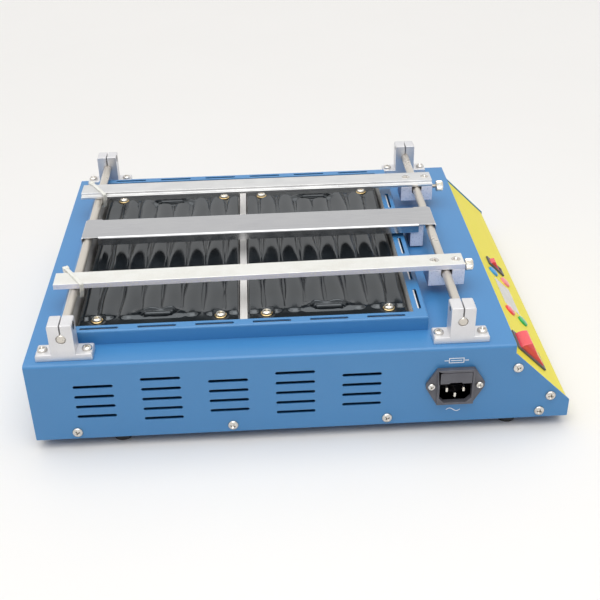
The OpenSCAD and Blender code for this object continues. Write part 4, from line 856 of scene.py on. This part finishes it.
def printedSigns():
    bm = bmesh.new()

    # a stroke along points, mitred at its corners
    def drawn(points, closed):
        count, rings = len(points), []
        for k in range(count):
            here = points[k]
            back = here - points[k - 1] if closed or k else points[1] - here
            on = points[(k + 1) % count] - here if closed or k < count - 1 else back
            back, on = back.normalized(), on.normalized()
            ahead = (back + on).normalized()
            reach = signs["stroke"] / 2 / ahead.dot(on)
            corners = [here + Vector((-ahead.y, ahead.x)) * reach * s for s in (1, -1)]
            rings.append([bm.verts.new(spot(p.x, y, p.y))
                          for y in (-signs["thick"], signs["sink"]) for p in corners])
        for k in range(count if closed else count - 1):
            a, b = rings[k], rings[(k + 1) % count]
            for i, j in ((0, 1), (1, 3), (3, 2), (2, 0)):
                bm.faces.new((a[i], a[j], b[j], b[i]))
        if not closed:
            for end in (rings[0], rings[-1]):
                bm.faces.new((end[0], end[1], end[3], end[2]))

    x, z, (w, h) = signs["x"], signs["fuseZ"], signs["fuse"]
    box = ((-1, -1), (1, -1), (1, 1), (-1, 1))
    drawn([Vector((x + sx * w / 2, z + sz * h / 2)) for sx, sz in box], True)
    for sx in (-1, 1):
        drawn([Vector((x + sx * w / 2, z)), Vector((x + sx * (w / 2 + signs["lead"]), z))], False)
    wire = w / 2 - signs["wireInset"]
    drawn([Vector((x - wire, z)), Vector((x + wire, z))], False)
    (length, rise), steps = signs["wave"], signs["waveSteps"]
    drawn([Vector((x + length * (k / steps - 0.5), signs["waveZ"] + rise * math.sin(2 * math.pi * k / steps)))
           for k in range(steps + 1)], False)
    obj = bpy.data.objects.new("inlet_signs", meshOf(bm, "inletSigns"))
    bpy.context.scene.collection.objects.link(obj)
    inkLook = {"shade": tint(238, 240, 242), "flow": tint(228, 232, 236), "rough": 0.5, "bump": 0.1}
    obj.data.materials.append(finish("white_ink", mouldedPlastic(inkLook), {}))
    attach(obj, bodyOf["cover"])


printedSigns()
print("signs printed")


# stage: floor, light, camera
def buildStage():
    look = {"floor": tint(246, 244, 241), "floorDrift": tint(243, 241, 238), "sky": tint(250, 250, 250),
            "skyLow": tint(216, 216, 217), "skyFront": tint(176, 176, 177), "skyLight": 0.57,
            "sun": 1.6, "sunAngle": 75, "front": 2.6, "frontSize": 0.8}
    bm = bmesh.new()
    bmesh.ops.create_grid(bm, x_segments=24, y_segments=24, size=6)
    floor = bpy.data.objects.new("floor", meshOf(bm, "floor"))
    bpy.context.scene.collection.objects.link(floor)

    def paper(place):
        return {"Base Color": place.grain(0.004, 3).blend(look["floor"], look["floorDrift"]),
                "Roughness": 0.62 + (place.grain(0.5, 2) - 0.5) * 0.1,
                "Normal": place.grain(0.4, 3).bump(0.05, 0.05)}
    floor.data.materials.append(finish("paper", paper, {}))

    world = bpy.data.worlds.new("studio")
    bpy.context.scene.world = world
    world.use_nodes = True
    tree = world.node_tree
    tree.nodes.clear()
    # the camera and mirrors see a plain pale sky, surfaces are lit by one that is darker low and in front
    start = Wire(tree)
    ray = start.node("ShaderNodeTexCoord", {}, {}, "Generated")
    height, depth = (start.node("ShaderNodeSeparateXYZ", {}, {0: ray}, axis) for axis in ("Z", "Y"))
    shade = height.rise(-0.1, 0.8).blend(look["skyLow"], look["sky"])
    shade = depth.rise(-0.8, 0.3).blend(look["skyFront"], shade)
    light = start.node("ShaderNodeBackground", {}, {"Color": shade, "Strength": look["skyLight"]})
    seen = start.node("ShaderNodeBackground", {}, {"Color": look["sky"], "Strength": 1.0})
    rays = [start.node("ShaderNodeLightPath", {}, {}, kind)
            for kind in ("Is Camera Ray", "Is Glossy Ray", "Is Transmission Ray")]
    both = start.node("ShaderNodeMixShader", {}, {0: rays[0] + rays[1] + rays[2], 1: light, 2: seen})
    tree.links.new(both.socket, tree.nodes.new("ShaderNodeOutputWorld").inputs["Surface"])

    def lamp(name, kind, power, place, target, **settings):
        data = bpy.data.lights.new(name, kind)
        data.energy = power
        for key, value in settings.items():
            setattr(data, key, value)
        obj = bpy.data.objects.new(name, data)
        obj.location = place
        obj.rotation_euler = (Vector(target) - Vector(place)).to_track_quat("-Z", "Y").to_euler()
        bpy.context.scene.collection.objects.link(obj)

    lamp("overhead", "SUN", look["sun"], (-0.2, -0.15, 1.6), (0, 0, 0), angle=math.radians(look["sunAngle"]))
    lamp("front", "AREA", look["front"], (0.05, -0.65, 0.95), (0, -0.05, 0.05), size=look["frontSize"])

    # as solved from the edges of the case, angles in degrees
    cameraLook = {"place": (-0.02812, -0.82884, 0.54147), "yaw": 2.368, "pitch": 31.548, "roll": -1.229,
                  "lens": 59.07, "shift": -4 / 600}
    yaw, pitch, roll = (math.radians(cameraLook[k]) for k in ("yaw", "pitch", "roll"))
    ahead = Vector((math.sin(yaw) * math.cos(pitch), math.cos(yaw) * math.cos(pitch), -math.sin(pitch)))
    right = Vector((math.cos(yaw), -math.sin(yaw), 0))
    up = right.cross(ahead)
    tilted = (math.cos(roll) * right + math.sin(roll) * up,
              -math.sin(roll) * right + math.cos(roll) * up, -ahead)
    data = bpy.data.cameras.new("camera")
    data.sensor_width, data.lens, data.shift_y = 36, cameraLook["lens"], cameraLook["shift"]
    camera = bpy.data.objects.new("camera", data)
    camera.matrix_world = Matrix.Translation(cameraLook["place"]) @ Matrix(tilted).transposed().to_4x4()
    bpy.context.scene.collection.objects.link(camera)
    bpy.context.scene.camera = camera
    bpy.context.scene.view_settings.view_transform = "Standard"


buildStage()
print("stage lit")
